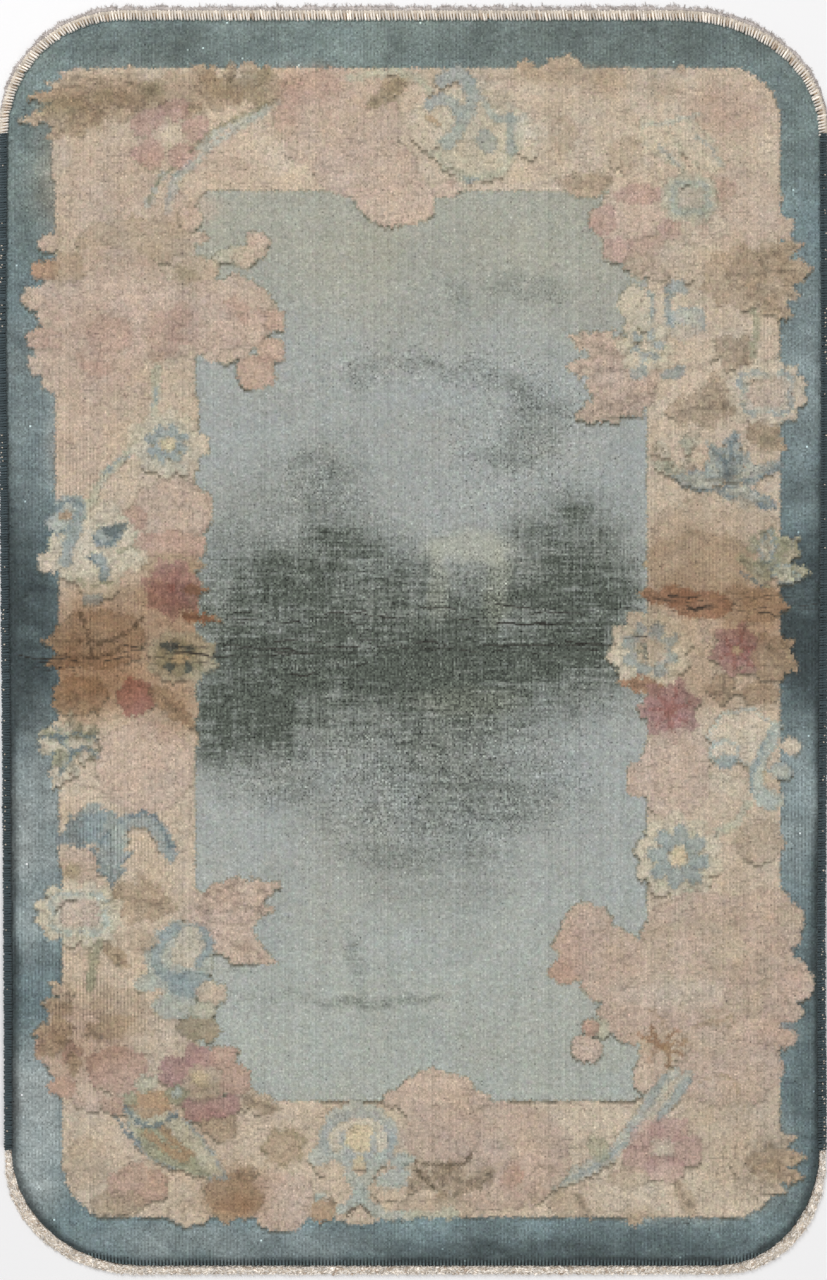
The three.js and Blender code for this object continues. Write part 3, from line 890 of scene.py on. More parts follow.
LEFT_UPPER = [
    Petal("pink", -268, 142, 46, 38, 0, 6, 0.08),
    Petal("blush", -240, 131, 13, 12),
    Petal("rose", -310, 134, 14, 14, 0, 3, 0.14),
    Petal("rose", -272, 104, 44, 18, 0, 6, 0.12),
    Petal("brown", -270, 82, 36, 12),
    Petal("celadon", -358, 106, 50, 52, 0, 9, 0.12, "pale_green"),
    Petal("pale_blue", -383, 148, 17, 14, 0, 4, 0.1, "blue"),
    Petal("pale_blue", -396, 128, 15, 13, 0, 3, 0.1, "blue"),
    Petal("orange", -388, 137, 8, 6),
    Stem("blue", 12, [(-372, 148), (-374, 130), (-384, 108), (-388, 86)]),
    Petal("pale", -345, 144, 16, 12),
    Petal("blue", -342, 115, 17, 12, 20),
    Petal("navy", -333, 122, 14, 6, 10),
    Petal("pale", -408, 86, 13, 12),
    Petal("celadon", -312, 90, 16, 13, 0, 4, 0.12),
    Stem("blue", 10, [(-358, 92), (-348, 86), (-345, 68)]),
    Petal("celadon", -352, 58, 24, 13, 0, 5, 0.1),
    Petal("blue", -358, 45, 14, 6),
    Stem("deep_blue", 4, [(-402, 138), (-394, 150), (-382, 156), (-370, 150)]),
    Stem("deep_blue", 4, [(-408, 122), (-396, 116), (-388, 122)]),
    Stem("deep_blue", 4, [(-356, 112), (-346, 106), (-330, 112)]),
    Stem("deep_blue", 4, [(-362, 92), (-352, 82), (-348, 66)]),
    Stem("green", 4, [(-330, 96), (-316, 102), (-304, 96)]),
    Stem("green", 4, [(-376, 68), (-360, 60), (-340, 64)]),
    Petal("celadon", -306, 222, 16, 18, 0, 4, 0.12),
    Rosette(-275, 218, 39, 8, 12, "celadon", "blue", "gold", 0.6, 0.36),
    Petal("pale", -238, 216, 12, 14, 0, 3, 0.12),
    Stem("pale_green", 9, [(-318, 206), (-338, 190), (-352, 170), (-360, 150)]),
    Stem("blue", 4, [(-318, 202), (-334, 196), (-346, 182)]),
    Stem("pale_green", 9, [(-286, 300), (-287, 275), (-290, 254)]),
    Stem("blue", 4, [(-286, 282), (-288, 270), (-290, 262)]),
]

LEFT_PEONY = [
    Petal("brown", -312, 442, 66, 28, 0, 9, 0.08),
    Petal("brown", -242, 412, 26, 16, 0, 5, 0.12),
    Petal("pink", -250, 468, 14, 14),
    Petal("pink", -238, 447, 11, 5),
    Petal("pink", -345, 385, 72, 56, 0, 9, 0.07),
    Petal("pink", -407, 441, 12, 11, 0, 3, 0.12),
    Petal("rust", -411, 411, 17, 12, 0, 4, 0.14),
    Petal("tan", -386, 414, 20, 18, 0, 4, 0.12),
    Petal("pink", -418, 381, 22, 14, 0, 4, 0.14),
    Petal("pink", -395, 360, 26, 20),
    Petal("pink", -360, 320, 62, 46, 0, 9, 0.08),
    Petal("rose", -412, 334, 22, 13, 0, 4, 0.16),
    Petal("pink", -412, 306, 20, 16, 0, 4, 0.16),
    Petal("pink", -400, 286, 18, 12, 0, 4, 0.14),
    Wash("pink", -338, 270, 60, 36, 0.8),
    Petal("pink", -262, 358, 62, 44, 0, 9, 0.07),
    Petal("pink", -205, 362, 52, 44, 0, 7, 0.08),
    Petal("rose", -162, 355, 22, 15, 0, 4, 0.16),
    Petal("rose", -160, 322, 20, 16, 0, 4, 0.16),
    Petal("rose", -176, 298, 24, 22, 0, 4, 0.16),
    Petal("pink", -205, 328, 26, 22, 0, 5, 0.1),
    Petal("pale_green", -206, 428, 18, 9, 12),
    Petal("blush", -176, 437, 15, 18, 0, 4, 0.12),
    Petal("cream", -190, 424, 16, 12, 0, 3, 0.12),
    Ruffle(("pink", "pink", "rose", "blush"), -340, 350, 60, 60, 16, 26, 403),
    Ruffle(("pink", "rose", "blush"), -225, 350, 45, 32, 9, 22, 404),
    Wash("olive", -255, 405, 16, 10, 0.6),
    Wash("dun", -320, 250, 50, 30, 0.6),
    Wash("pink", -370, 215, 40, 60, 0.6),
]

# Each group with the share of its dye that is left
GROUPS = [
    (TOP_LEFT, 0.6), (TOP_MIDDLE, 0.7), (TOP_RIGHT, 0.5), (LEFT_PEONY, 0.6), (RIGHT_UPPER, 0.7),
    (RIGHT_MIDDLE, 0.75), (RIGHT_LOWER, 0.8), (BOTTOM_RIGHT, 0.6), (BOTTOM_MIDDLE, 0.8),
    (LEFT_LOWER, 0.8), (BOTTOM_LEFT, 0.8), (LEFT_UPPER, 0.8), (LEFT_MIDDLE, 0.8),
]

knot_ground()
for group, dye_left in GROUPS:
    chart.dye = dye_left
    for row in group:
        DRAW[type(row)](row)
on_field = chart.region == FIELD
on_border = chart.region == BORDER
on_flowers = ~(on_field | on_border)

# Each dyed batch of yarn differs a little, and so does each knot. The flowers are mottled most.
batch = 0.03 * cloudy(chart.shape, 14, 31) + 0.025 * cloudy(chart.shape, (2, 40), 34)
batch += on_border * (0.06 * cloudy(chart.shape, 20, 36) + 0.05 * cloudy(chart.shape, (3, 30), 37))
batch += on_flowers * (0.05 * cloudy(chart.shape, 7, 35) + 0.03 * cloudy(chart.shape, 2.5, 38))
chart.colour *= (1 + batch + np.random.default_rng(41).normal(0, 0.018, chart.shape))[..., None]
chart.colour *= 1 + np.random.default_rng(42).normal(0, 0.008, chart.colour.shape)
warmth = cloudy(chart.shape, 9, 43) * on_flowers + 0.6 * cloudy(chart.shape, 16, 46) * ~on_flowers
chart.colour *= 1 + warmth[..., None] * np.array([0.022, 0.0, -0.03])

# Tufts: two by two to a knot. Each mixes fibres that lean over from the knots about it.
tufts = Grid(TUFT)
LEAN, FIBRES = 1.1, 3
tuft_rng = np.random.default_rng(51)


def knot_under(lean):
    """The row and column of the knot that shows at each tuft when fibres lean about so much."""
    dx, dy = tuft_rng.normal(0, 1, (2, *tufts.shape)) * lean
    column = ((tufts.x + dx - chart.low[0]) / KNOT).astype(int)
    row = ((tufts.y + dy - chart.low[1]) / KNOT).astype(int)
    return np.clip(row, 0, chart.rows - 1), np.clip(column, 0, chart.columns - 1)


fibres = [knot_under(LEAN) for _ in range(FIBRES)]
upright = knot_under(0)


def mixed(layer):
    """What a layer of the chart shows at each tuft, over all the tuft's fibres."""
    return sum(layer[place] for place in fibres) / FIBRES


depth, near_x, near_y = edge_depth(tufts.x, tufts.y)
colour = mixed(chart.colour)
region = chart.region[upright]
field_share, border_share, flower_share = mixed(on_field), mixed(on_border), mixed(on_flowers)


PATCH_EDGE = 1.5


def patches(rows, ragged, seed):
    """The total of soft-edged patches given as x, y, across, along, strength, with ragged edges."""
    fray_x = ragged * cloudy(tufts.shape, 24, seed)
    fray_y = ragged * cloudy(tufts.shape, 24, seed + 7)
    total = np.zeros(tufts.shape)
    for x, y, across, along, strength in rows:
        far = np.hypot((tufts.x + fray_x - x) / across, (tufts.y + fray_y - y) / along)
        total += strength * smooth(PATCH_EDGE - far)
    return total


def blend(base, yarn, share):
    share = np.clip(share, 0, 1)[..., None]
    return base * (1 - share) + srgb(yarn) * share


# How far dirt and the darkening towards the rim darken the border, and how far painted shade darkens the
# pile in its cuts, deep cuts and cracks
DIRT_AND_RIM_DARK, CUT_PAINTED_SHADE, INCISED_PAINTED_SHADOW, CRACK_PAINTED_SHADE = 0.45, 0.16, 0.7, 0.9

# Worn and dirtied places: x, y, across, along, strength
FIELD_WEAR = [
    (0, 10, 250, 90, 0.4), (-80, 70, 70, 70, 0.3), (-170, 30, 80, 50, 0.3), (180, 80, 70, 80, 0.4),
    (200, 20, 60, 60, 0.3), (100, 10, 120, 40, 0.2), (-200, -95, 70, 45, 0.5), (-190, -45, 70, 30, 0.3),
    (-60, -80, 160, 50, 0.5), (130, -60, 90, 50, 0.3), (60, 96, 46, 20, -0.2), (70, 50, 50, 35, 0.2),
    (-130, 130, 90, 70, 0.15), (0, -20, 240, 30, 0.3), (0, -180, 140, 60, 0.2), (135, 235, 30, 45, 0.25),
    (105, 282, 36, 12, 0.2), (50, 298, 40, 10, 0.15), (-10, 304, 40, 8, 0.15), (-100, 180, 40, 50, 0.2),
    (45, 380, 16, 12, 0.2), (130, 388, 46, 18, 0.2), (-62, 290, 12, 18, 0.15), (95, 200, 24, 16, 0.2),
    (-30, -402, 75, 9, 0.15), (-80, -400, 130, 7, 0.1), (-67, -355, 9, 38, 0.15), (0, -245, 85, 15, 0.15),
    (-160, -160, 60, 30, 0.2), (70, -165, 110, 50, 0.2), (20, -260, 90, 40, 0.1), (-205, 50, 50, 70, 0.2),
    (-110, 100, 60, 30, 0.2), (185, 135, 16, 14, 0.2), (150, 110, 60, 30, 0.1), (-230, -110, 30, 40, 0.3),
]
SPECKLED = [
    (0, 0, 250, 130, 0.5), (120, 230, 80, 80, 0.6), (-100, 180, 40, 40, 0.6), (50, -165, 120, 60, 0.6),
    (-150, -140, 70, 40, 0.6), (0, 300, 100, 20, 0.5), (40, -150, 150, 70, 0.5),
]
STAINED = [
    (-330, 0, 120, 60, 0.7), (-250, 60, 50, 30, 0.3), (-370, -60, 60, 40, 0.5), (-260, -80, 50, 30, 0.4),
    (320, 30, 110, 40, 0.4), (390, 30, 40, 50, 0.3), (340, -50, 100, 30, 0.3), (310, 100, 80, 40, 0.2),
    (-300, 610, 140, 20, 0.2), (-200, -620, 40, 30, 0.4), (-240, -540, 40, 50, 0.2),
    (-370, -440, 60, 50, 0.2),
]
BORDER_DIRT = [
    (-440, 10, 50, 120, 0.9), (440, 20, 50, 80, 0.9), (0, -675, 420, 20, 0.2), (100, -680, 140, 14, 0.3),
    (300, -680, 120, 14, 0.2), (-440, 250, 30, 120, 0.3), (440, -60, 40, 80, 0.3),
    (-300, 665, 180, 24, 0.2), (200, 665, 200, 24, 0.2), (440, 130, 30, 60, 0.3),
    (-410, 570, 30, 40, 0.3), (440, -430, 20, 120, 0.3),
]
FADED = [
    (-420, -220, 40, 130, 0.6), (-420, -540, 40, 90, 0.8), (-200, -672, 140, 20, 0.4),
    (430, 300, 30, 130, 0.3), (430, -180, 30, 90, 0.4), (-430, 250, 30, 120, 0.3),
]
GREENED = [(0, 660, 440, 50, 0.2), (430, 560, 40, 80, 0.1), (-430, 540, 40, 120, 0.15)]
RIBBED = [
    (-360, -410, 70, 50, 0.8), (-340, -215, 60, 40, 0.9), (-420, -360, 40, 60, 0.6),
    (-380, 180, 40, 50, 0.6), (-330, 0, 80, 50, 0.4), (300, 90, 80, 50, 0.3), (430, -220, 30, 90, 0.5),
    (400, 330, 30, 40, 0.3),
]
# Where the deep cuts stay away
QUIET = [
    (-330, 285, 100, 40, 1), (190, 500, 50, 25, 0.8), (170, 630, 40, 20, 0.8), (300, 630, 20, 20, 0.8),
    (-275, 555, 60, 50, 0.8), (-300, -180, 70, 30, 0.8), (340, -505, 70, 20, 0.7),
    (-20, -640, 200, 10, 0.5),
]
# Where the pale foundation shows through the field
BARED = [(60, 100, 50, 16, 0.4), (90, 60, 14, 40, 0.3), (28, 60, 10, 40, 0.3), (60, -70, 60, 16, 0.2)]

wear = patches(FIELD_WEAR, 16, 61)
wear *= 1 + 0.4 * cloudy(tufts.shape, 18, 62) + 0.65 * cloudy(tufts.shape, (1.6, 18), 64)
wear *= 1 + 0.5 * cloudy(tufts.shape, (16, 1.6), 67)
wear = np.clip(wear, 0, 0.95) * field_share
speckle = patches(SPECKLED, 20, 63) * (0.6 + 1.2 * cloudy(tufts.shape, 6, 70))
speckle = np.clip(speckle, 0, 1) * field_share
stain = patches(STAINED, 14, 65) * (1 + 0.3 * cloudy(tufts.shape, 12, 66))
stain = np.clip(stain, 0, 0.95) * flower_share
smudges = 0.35 * cloudy(tufts.shape, 26, 77) + 0.2 * cloudy(tufts.shape, (6, 8), 78)
dirt = patches(BORDER_DIRT, 16, 68) * (1 + 0.3 * cloudy(tufts.shape, (5, 20), 72))
dirt = (dirt + smudges) * border_share
ribs = np.clip(patches(RIBBED, 14, 69) + 0.6 * wear + 0.35 * border_share, 0, 1)
ribs = ribs * smooth(0.5 + cloudy(tufts.shape, (8, 6), 95))

colour = blend(colour, "worn", wear)
colour = blend(colour, "pale_green", patches(BARED, 14, 92) * field_share)
colour *= 1 - stain[..., None] * (1 - srgb("stain") / srgb("cream"))
fade = patches(FADED, 16, 86) * (1 + 0.5 * cloudy(tufts.shape, 16, 89))
colour = blend(colour, "faded", fade * border_share)
colour = blend(colour, "moss", patches(GREENED, 20, 96) * border_share)
# Besides its dirt, the border darkens towards the rug's edge, most at the bottom and not at the top
rim_darkening = smooth(1 - depth / (13 + 8 * cloudy(tufts.shape, 30, 80)))
rim_darkening = rim_darkening * smooth((420 - tufts.y) / 700) * border_share
colour *= (1 - DIRT_AND_RIM_DARK * np.clip(dirt + rim_darkening, -0.2, 0.95))[..., None]

# Next to the field the flowers take on a little of its green
colour = blend(colour, "green", 0.4 * smooth(2 * field_share) * smooth(2 * flower_share))

# The carver's cut runs along every edge of the pattern
cut = np.zeros(tufts.shape, bool)
cut[:, 1:] |= region[:, 1:] != region[:, :-1]
cut[1:] |= region[1:] != region[:-1]
# It is deep against the blue ground and faint between two petals
outer = smooth(2 * (field_share + border_share)) * smooth(2 * flower_share)
cut_depth = cut * (0.2 + 0.8 * outer) * (0.8 + 0.6 * cloudy(tufts.shape, 10, 71))
# Painted shade darkens the pile along the cut
colour *= (1 - CUT_PAINTED_SHADE * np.clip(cut_depth, 0, 1))[..., None]

# Here and there the cut is deep, mostly under the lower edges of raised shapes, and a painted shadow shows
# it as a dark line
deep_cut = np.zeros(tufts.shape)
deep_cut[:-2] = 0.6 * (region[2:] > region[1:-1])
deep_cut[:-1] = np.maximum(deep_cut[:-1], region[1:] > region[:-1])
deep_cut[:, :-1] = np.maximum(deep_cut[:, :-1], 0.5 * (region[:, 1:] != region[:, :-1]))
deep_cut *= np.where(region <= FIELD, 0.7 + 0.3 * outer, 0.25)
incised = deep_cut * smooth((cloudy(tufts.shape, (14, 20), 79) + 0.15) / 0.3)
incised = incised * np.clip(1 - patches(QUIET, 8, 94), 0, 1)

# Cracks in the pile along the old folds
Crack = namedtuple("Crack", "dark width points")
FOLD_SLANT, LOWER_FOLD, UPPER_FOLD = 0.03, -12, 26


def fold_cracks(count, seed):
    """Short broken cracks scattered along the two folds, most of them near the middle one."""
    draw = np.random.default_rng(seed)
    rows = []
    for _ in range(count):
        x = draw.uniform(-440, 440)
        lower = draw.random() < 0.7 if abs(x) < 240 else x < 0
        y = FOLD_SLANT * x + (LOWER_FOLD if lower else UPPER_FOLD) + draw.normal(0, 7)
        half = draw.uniform(8, 30)
        bend = draw.normal(0, 1.5, 3)
        points = [(x - half, y + bend[0]), (x, y + bend[1]), (x + half, y + bend[2])]
        rows.append(Crack(draw.uniform(0.4, 0.9), draw.uniform(0.9, 1.4), points))
    return rows


CRACKS = fold_cracks(80, 75)
CRACKS.append(Crack(0.6, 1.4, [(-230, -20), (-110, -16), (0, -10), (110, -7), (225, -6)]))


def along_cracks():
    """How strongly each tuft is in one of the cracks."""
    total = np.zeros(tufts.shape)
    wander = 1.3 * soft_noise(tufts.shape, 5, 73)
    for row in CRACKS:
        path = curve_points(row.points)
        low, high = path.min(axis=0) - 6, path.max(axis=0) + 6
        window = tufts.window(*low, *high)
        far = distance_to(tufts.x[window], tufts.y[window] + wander[window], path)
        total[window] = np.maximum(total[window], row.dark * smooth(1.35 - 1.25 * far / row.width))
    return total


cracked = along_cracks() * smooth(0.75 + 1.6 * cloudy(tufts.shape, (3, 14), 76))
# Painted shadow along the deep cuts
colour = blend(colour, "shadow", INCISED_PAINTED_SHADOW * incised)
# Painted shade in the cracks along the folds
colour = blend(colour, "crack_shade", CRACK_PAINTED_SHADE * cracked)

# Ribs between the knot columns, with painted shade in their valleys and painted light on their ridges,
# uneven rows, and each tuft's own shade
valley = np.where(np.arange(tufts.columns) % 2 == 0, -1, 1)[None, :]
column_tone = np.repeat(np.random.default_rng(81).normal(0, 1, chart.columns), 2)[None, :tufts.columns]
tuft_random = np.random.default_rng(83).normal(0, 1, tufts.shape)
grain = 0.047 + 0.06 * speckle + 0.11 * wear + 0.025 * border_share
# The valley term paints shade into the lower columns and light onto the higher ones
tone = 1 + grain * tuft_random + (0.012 + 0.075 * ribs) * valley + 0.012 * column_tone
crosswise = smooth((cloudy(tufts.shape, (1.2, 4.5), 85, 2) - 0.36) / 0.2)
lengthwise = smooth((cloudy(tufts.shape, (4.5, 1.2), 88, 2) - 0.4) / 0.2)
tone -= (0.03 + 0.07 * flower_share) * np.maximum(crosswise, lengthwise)
flecks = np.random.default_rng(84).random(tufts.shape)
tone -= 0.22 * (flecks < 0.002 + 0.07 * speckle)
tone += 0.14 * (flecks > 0.996 - 0.06 * wear)
# A little white lint on the border
tone += 0.6 * (flecks > 0.9996) * border_share
# The foundation's ends show as a comb of pale ticks along the bottom
TICKS_BELOW, TICK_LENGTH = -684, 9
tone += 0.4 * smooth(1 - depth / TICK_LENGTH) * (tufts.y < TICKS_BELOW) * valley
colour = np.clip(colour * tone[..., None], 0.02, 0.98)

# Pile height: rounded at the rim, lower where worn, cut or creased
PILE_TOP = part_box("rug")[1].z / MM
RIM_WIDTH, RIM_DROP = 12, 3
CUT_DROP, INCISED_DROP, CRACK_DROP, WEAR_DROP = 0.9, 1.2, 1.6, 1.6
# The two folds: middle, depth, half width, wander and waves across the rug
CREASES = [(-13, 1.6, 7, 3, 1.5), (37, 0.9, 6, 4, 2.2)]


def crease_drop(x, y):
    """How far the two folds lower the pile."""
    total = np.zeros(x.shape)
    share = (x - OUTLINE[:, 0].min()) / np.ptp(OUTLINE[:, 0])
    for middle, deep, half, wander, waves in CREASES:
        line = middle + wander * np.sin(waves * 2 * math.pi * share)
        total += deep * smooth(1 - np.abs(y - line) / half)
    return total


height = PILE_TOP - MOTIF_LIFT + chart.lift[upright]
carved = CUT_DROP * np.clip(cut_depth, 0, 1) + INCISED_DROP * incised
height -= carved + CRACK_DROP * cracked + WEAR_DROP * wear
height -= crease_drop(tufts.x, tufts.y)
height += 0.2 * tuft_random + 0.25 * cloudy(tufts.shape, 20, 91) + (0.05 + 0.25 * ribs) * valley
height -= RIM_DROP * smooth(1 - depth / RIM_WIDTH) ** 1.5


# Meshes
def mesh_object(name, points, faces, material, colours, uvs=None):
    """A smooth mesh from arrays of points, in millimetres, and of faces with equal numbers of corners.

    Colours are given for each point, or for each face.
    """
    points, faces = np.asarray(points, float), np.asarray(faces, np.int32)
    mesh = bpy.data.meshes.new(name)
    corners = faces.shape[1]
    mesh.vertices.add(len(points))
    mesh.vertices.foreach_set("co", (points * MM).astype(np.float32).ravel())
    mesh.loops.add(faces.size)
    mesh.loops.foreach_set("vertex_index", faces.ravel())
    mesh.polygons.add(len(faces))
    mesh.polygons.foreach_set("loop_start", np.arange(0, faces.size, corners, dtype=np.int32))
    mesh.polygons.foreach_set("loop_total", np.full(len(faces), corners, np.int32))
    mesh.polygons.foreach_set("use_smooth", np.ones(len(faces), bool))
    each_face = len(colours) == len(faces)
    if each_face:
        colours = np.repeat(colours, corners, axis=0)
    layer = mesh.color_attributes.new("yarn", "FLOAT_COLOR", "CORNER" if each_face else "POINT")
    rgba = np.ones((len(colours), 4), np.float32)
    rgba[:, :3] = linear(np.asarray(colours))
    layer.data.foreach_set("color", rgba.ravel())
    if uvs is not None:
        mesh.uv_layers.new(name="OFBake").data.foreach_set("uv", np.asarray(uvs, np.float32).ravel())
    mesh.update(calc_edges=True)
    mesh.validate()
    piece = bpy.data.objects.new(name, mesh)
    bpy.context.scene.collection.objects.link(piece)
    mesh.materials.append(material)
    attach(piece, "root")
    return piece


def principled(name):
    material = bpy.data.materials.new(name)
    material.use_nodes = True
    return material, material.node_tree.nodes, material.node_tree.links


def add_node(nodes, kind, **values):
    """A new shader node with some of its inputs set."""
    node = nodes.new("ShaderNode" + kind)
    for name, value in values.items():
        node.inputs[name.replace("_", " ")].default_value = value
    return node


def yarn_material(name, roughness, sheen, fibre_scale, fibre_contrast, bump_height):
    """Yarn in its own colours: fine fibres vary its shade, gloss and surface."""
    material, nodes, links = principled(name)
    shader = nodes["Principled BSDF"]
    shader.inputs["Sheen Weight"].default_value = sheen
    shader.inputs["Sheen Roughness"].default_value = 0.5
    shader.inputs["Specular IOR Level"].default_value = 0.15
    place = add_node(nodes, "TexCoord")
    yarn = add_node(nodes, "Attribute")
    yarn.attribute_name = "yarn"
    fibre = add_node(nodes, "TexNoise", Scale=fibre_scale, Detail=3)
    links.new(place.outputs["Object"], fibre.inputs["Vector"])
    shade = add_node(nodes, "MapRange", From_Min=0.25, From_Max=0.75,
                     To_Min=1 - fibre_contrast, To_Max=1 + fibre_contrast)
    links.new(fibre.outputs["Fac"], shade.inputs["Value"])
    tinted = add_node(nodes, "VectorMath")
    tinted.operation = "SCALE"
    links.new(yarn.outputs["Color"], tinted.inputs[0])
    links.new(shade.outputs["Result"], tinted.inputs["Scale"])
    links.new(tinted.outputs["Vector"], shader.inputs["Base Color"])
    gloss = add_node(nodes, "MapRange", To_Min=roughness - 0.08, To_Max=min(1, roughness + 0.08))
    links.new(fibre.outputs["Fac"], gloss.inputs["Value"])
    links.new(gloss.outputs["Result"], shader.inputs["Roughness"])
    bump = add_node(nodes, "Bump", Strength=0.6, Distance=bump_height * MM)
    links.new(fibre.outputs["Fac"], bump.inputs["Height"])
    links.new(bump.outputs["Normal"], shader.inputs["Normal"])
    return material


# Roughness, sheen, scale and contrast of the fibres, and height of their bumps
PILE = yarn_material("wool_pile", 0.92, 0.1, 950, 0.18, 0.5)
IVORY = yarn_material("ivory_yarn", 0.88, 0.08, 1400, 0.12, 0.3)
WEB = yarn_material("cotton_web", 0.9, 0.05, 1600, 0.14, 0.3)
FRAY = yarn_material("frayed_cotton", 0.95, 0.1, 1800, 0.14, 0.3)
DARK = yarn_material("dark_wool", 0.9, 0.12, 1400, 0.14, 0.3)
BACK = yarn_material("knotted_back", 0.93, 0.05, 1200, 0.12, 0.4)


# Cells of a grid, and the quads that cover them
def cells_of(inside):
    """The cells with a corner inside."""
    return inside[:-1, :-1] | inside[:-1, 1:] | inside[1:, :-1] | inside[1:, 1:]


def quads_of(shape, row, column):
    """The four corners of each cell, as numbers of the grid's places."""
    number = np.arange(shape[0] * shape[1]).reshape(shape)
    return np.stack([number[row, column], number[row, column + 1],
                     number[row + 1, column + 1], number[row + 1, column]], axis=1)


def open_edges(quads):
    """The edges that only one quad has."""
    pairs = set(zip(quads.ravel().tolist(), np.roll(quads, -1, axis=1).ravel().tolist()))
    return sorted((a, b) for a, b in pairs if (b, a) not in pairs)


# The pile, in strips side by side that share their edges
# The skirt, the pile's side, takes the colour of its rim tufts darkened by painted shade
SKIRT_PAINTED_SHADE = 0.8


def pile_strips():
    """The strips, each with a skirt that hangs from the rug's rim down into the ground."""
    inside = depth > 0
    cells = cells_of(inside)
    used = np.zeros(tufts.shape, bool)
    for corner in (used[:-1, :-1], used[:-1, 1:], used[1:, :-1], used[1:, 1:]):
        corner |= cells
    on_rim = used & ~inside
    rim = on_rim.ravel()
    places = np.stack([np.where(on_rim, near_x, tufts.x), np.where(on_rim, near_y, tufts.y),
                       np.where(on_rim, PILE_TOP - RIM_DROP, height)], axis=-1).reshape(-1, 3)
    half_rows = cells.shape[0] // 2
    middle = half_rows * TUFT + tufts.low[1]
    edges = np.linspace(0, cells.shape[1], STRIPS + 1).astype(int)
    pieces = []
    for strip, (first, last) in enumerate(zip(edges, edges[1:])):
        row, column = np.nonzero(cells[:, first:last])
        column += first
        quads = quads_of(tufts.shape, row, column)
        skirt = [(a, b) for a, b in open_edges(quads) if rim[a] and rim[b]]
        kept, flat = np.unique(quads, return_inverse=True)
        new_number = {old: new for new, old in enumerate(kept.tolist())}
        points = places[kept]
        low_number, low_points, skirt_quads = {}, [], []
        for a, b in skirt:
            for v in (a, b):
                if v not in low_number:
                    low_number[v] = len(kept) + len(low_points)
                    x, y, _ = points[new_number[v]]
                    low_points.append((x, y, GROUND_HEIGHT - 0.5))
            skirt_quads.append((low_number[a], low_number[b], new_number[b], new_number[a]))
        faces = flat.reshape(quads.shape)
        shades = colour[row, column]
        upper = row >= half_rows
        if skirt:
            points = np.vstack([points, low_points])
            # Painted shade on the skirt
            shades = np.vstack([shades, SKIRT_PAINTED_SHADE * colour.reshape(-1, 3)[[a for a, _ in skirt]]])
            faces = np.vstack([faces, skirt_quads])
            upper = np.concatenate([upper, points[np.array(skirt_quads)[:, 0], 1] > middle])
        uvs = strip_map(points, faces, upper, len(kept))
        piece = mesh_object(f"pile_strip_{strip + 1}", points, faces, PILE, shades, uvs)
        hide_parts("rug")
        pieces.append(piece)
    return pieces


SKIRT_FOLD = 6
MAP_MARGIN, MAP_PAD = 4, 0.002


def strip_map(points, faces, upper, top_count):
    """Lays a strip's two halves side by side in its map, with the skirt folded out flat."""
    flat = points[:, :2].copy()
    skirt = np.arange(len(points)) >= top_count
    if skirt.any():
        flat[skirt] *= 1 + SKIRT_FOLD / np.maximum(np.linalg.norm(flat[skirt], axis=1), 1)[:, None]
    left, bottom = flat.min(axis=0) - MAP_MARGIN
    right, top = flat.max(axis=0) + MAP_MARGIN
    middle = (bottom + top) / 2
    width, half = right - left, (top - bottom) / 2 + 2 * SKIRT_FOLD
    corner = flat[faces]
    u = (corner[..., 0] - left) / width / 2 + np.where(upper, 0.5, 0)[:, None]
    v = (corner[..., 1] - np.where(upper, middle, bottom)[:, None] + SKIRT_FOLD) / half
    return np.stack([u, np.clip(v, 0, 1)], axis=-1) * (1 - 2 * MAP_PAD) + MAP_PAD


# The woven ground under the pile, whose back shows the knots' colours, paler
BACK_SHARE = 0.62


def woven_ground():
    """A thin closed slab a little inside the outline."""
    pitch = 2 * KNOT
    low, high = OUTLINE.min(axis=0), OUTLINE.max(axis=0)
    columns, rows = (np.ceil((high - low) / pitch)).astype(int) + 1
    xs = np.linspace(low[0] - pitch / 2, high[0] + pitch / 2, columns)
    ys = np.linspace(low[1] - pitch / 2, high[1] + pitch / 2, rows)
    x, y = np.meshgrid(xs, ys)
    deep, rim_x, rim_y = edge_depth(x, y)
    inside = deep > 0
    x, y = np.where(inside, x, rim_x), np.where(inside, y, rim_y)
    top = quads_of((rows, columns), *np.nonzero(cells_of(inside)))
    kept, flat = np.unique(top, return_inverse=True)
    top = flat.reshape(top.shape)
    count = len(kept)
    shrink = 0.9995
    px, py = x.ravel()[kept] * shrink, y.ravel()[kept] * shrink
    points = np.vstack([np.stack([px, py, np.full(count, GROUND_HEIGHT)], axis=1),
                        np.stack([px, py, np.zeros(count)], axis=1)])
    walls = [(a + count, b + count, b, a) for a, b in open_edges(top)]
    faces = np.vstack([top, top[:, ::-1] + count, walls])
    knot_x = np.clip(((px - chart.low[0]) / KNOT).astype(int), 0, chart.columns - 1)
    knot_y = np.clip(((py - chart.low[1]) / KNOT).astype(int), 0, chart.rows - 1)
    shade = chart.colour[knot_y, knot_x] * BACK_SHARE + srgb("back_cotton") * (1 - BACK_SHARE)
    piece = mesh_object("woven_ground", points, faces, BACK, np.vstack([shade, shade]))
    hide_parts("rug")
    return piece


pile = pile_strips()
ground = woven_ground()


# Edge finishes follow the outline
def outline_run(first_y=-math.inf, last_y=math.inf, side=0):
    """The outline's points between two heights, in order. Side is -1 for the left, 1 for the right."""
    x, y = OUTLINE.T
    keep = (y >= first_y) & (y <= last_y) & (x * side >= 0)
    start = next(i for i in range(len(keep)) if keep[i] and not keep[i - 1])
    return OUTLINE[[(start + i) % len(keep) for i in range(int(keep.sum()))]]


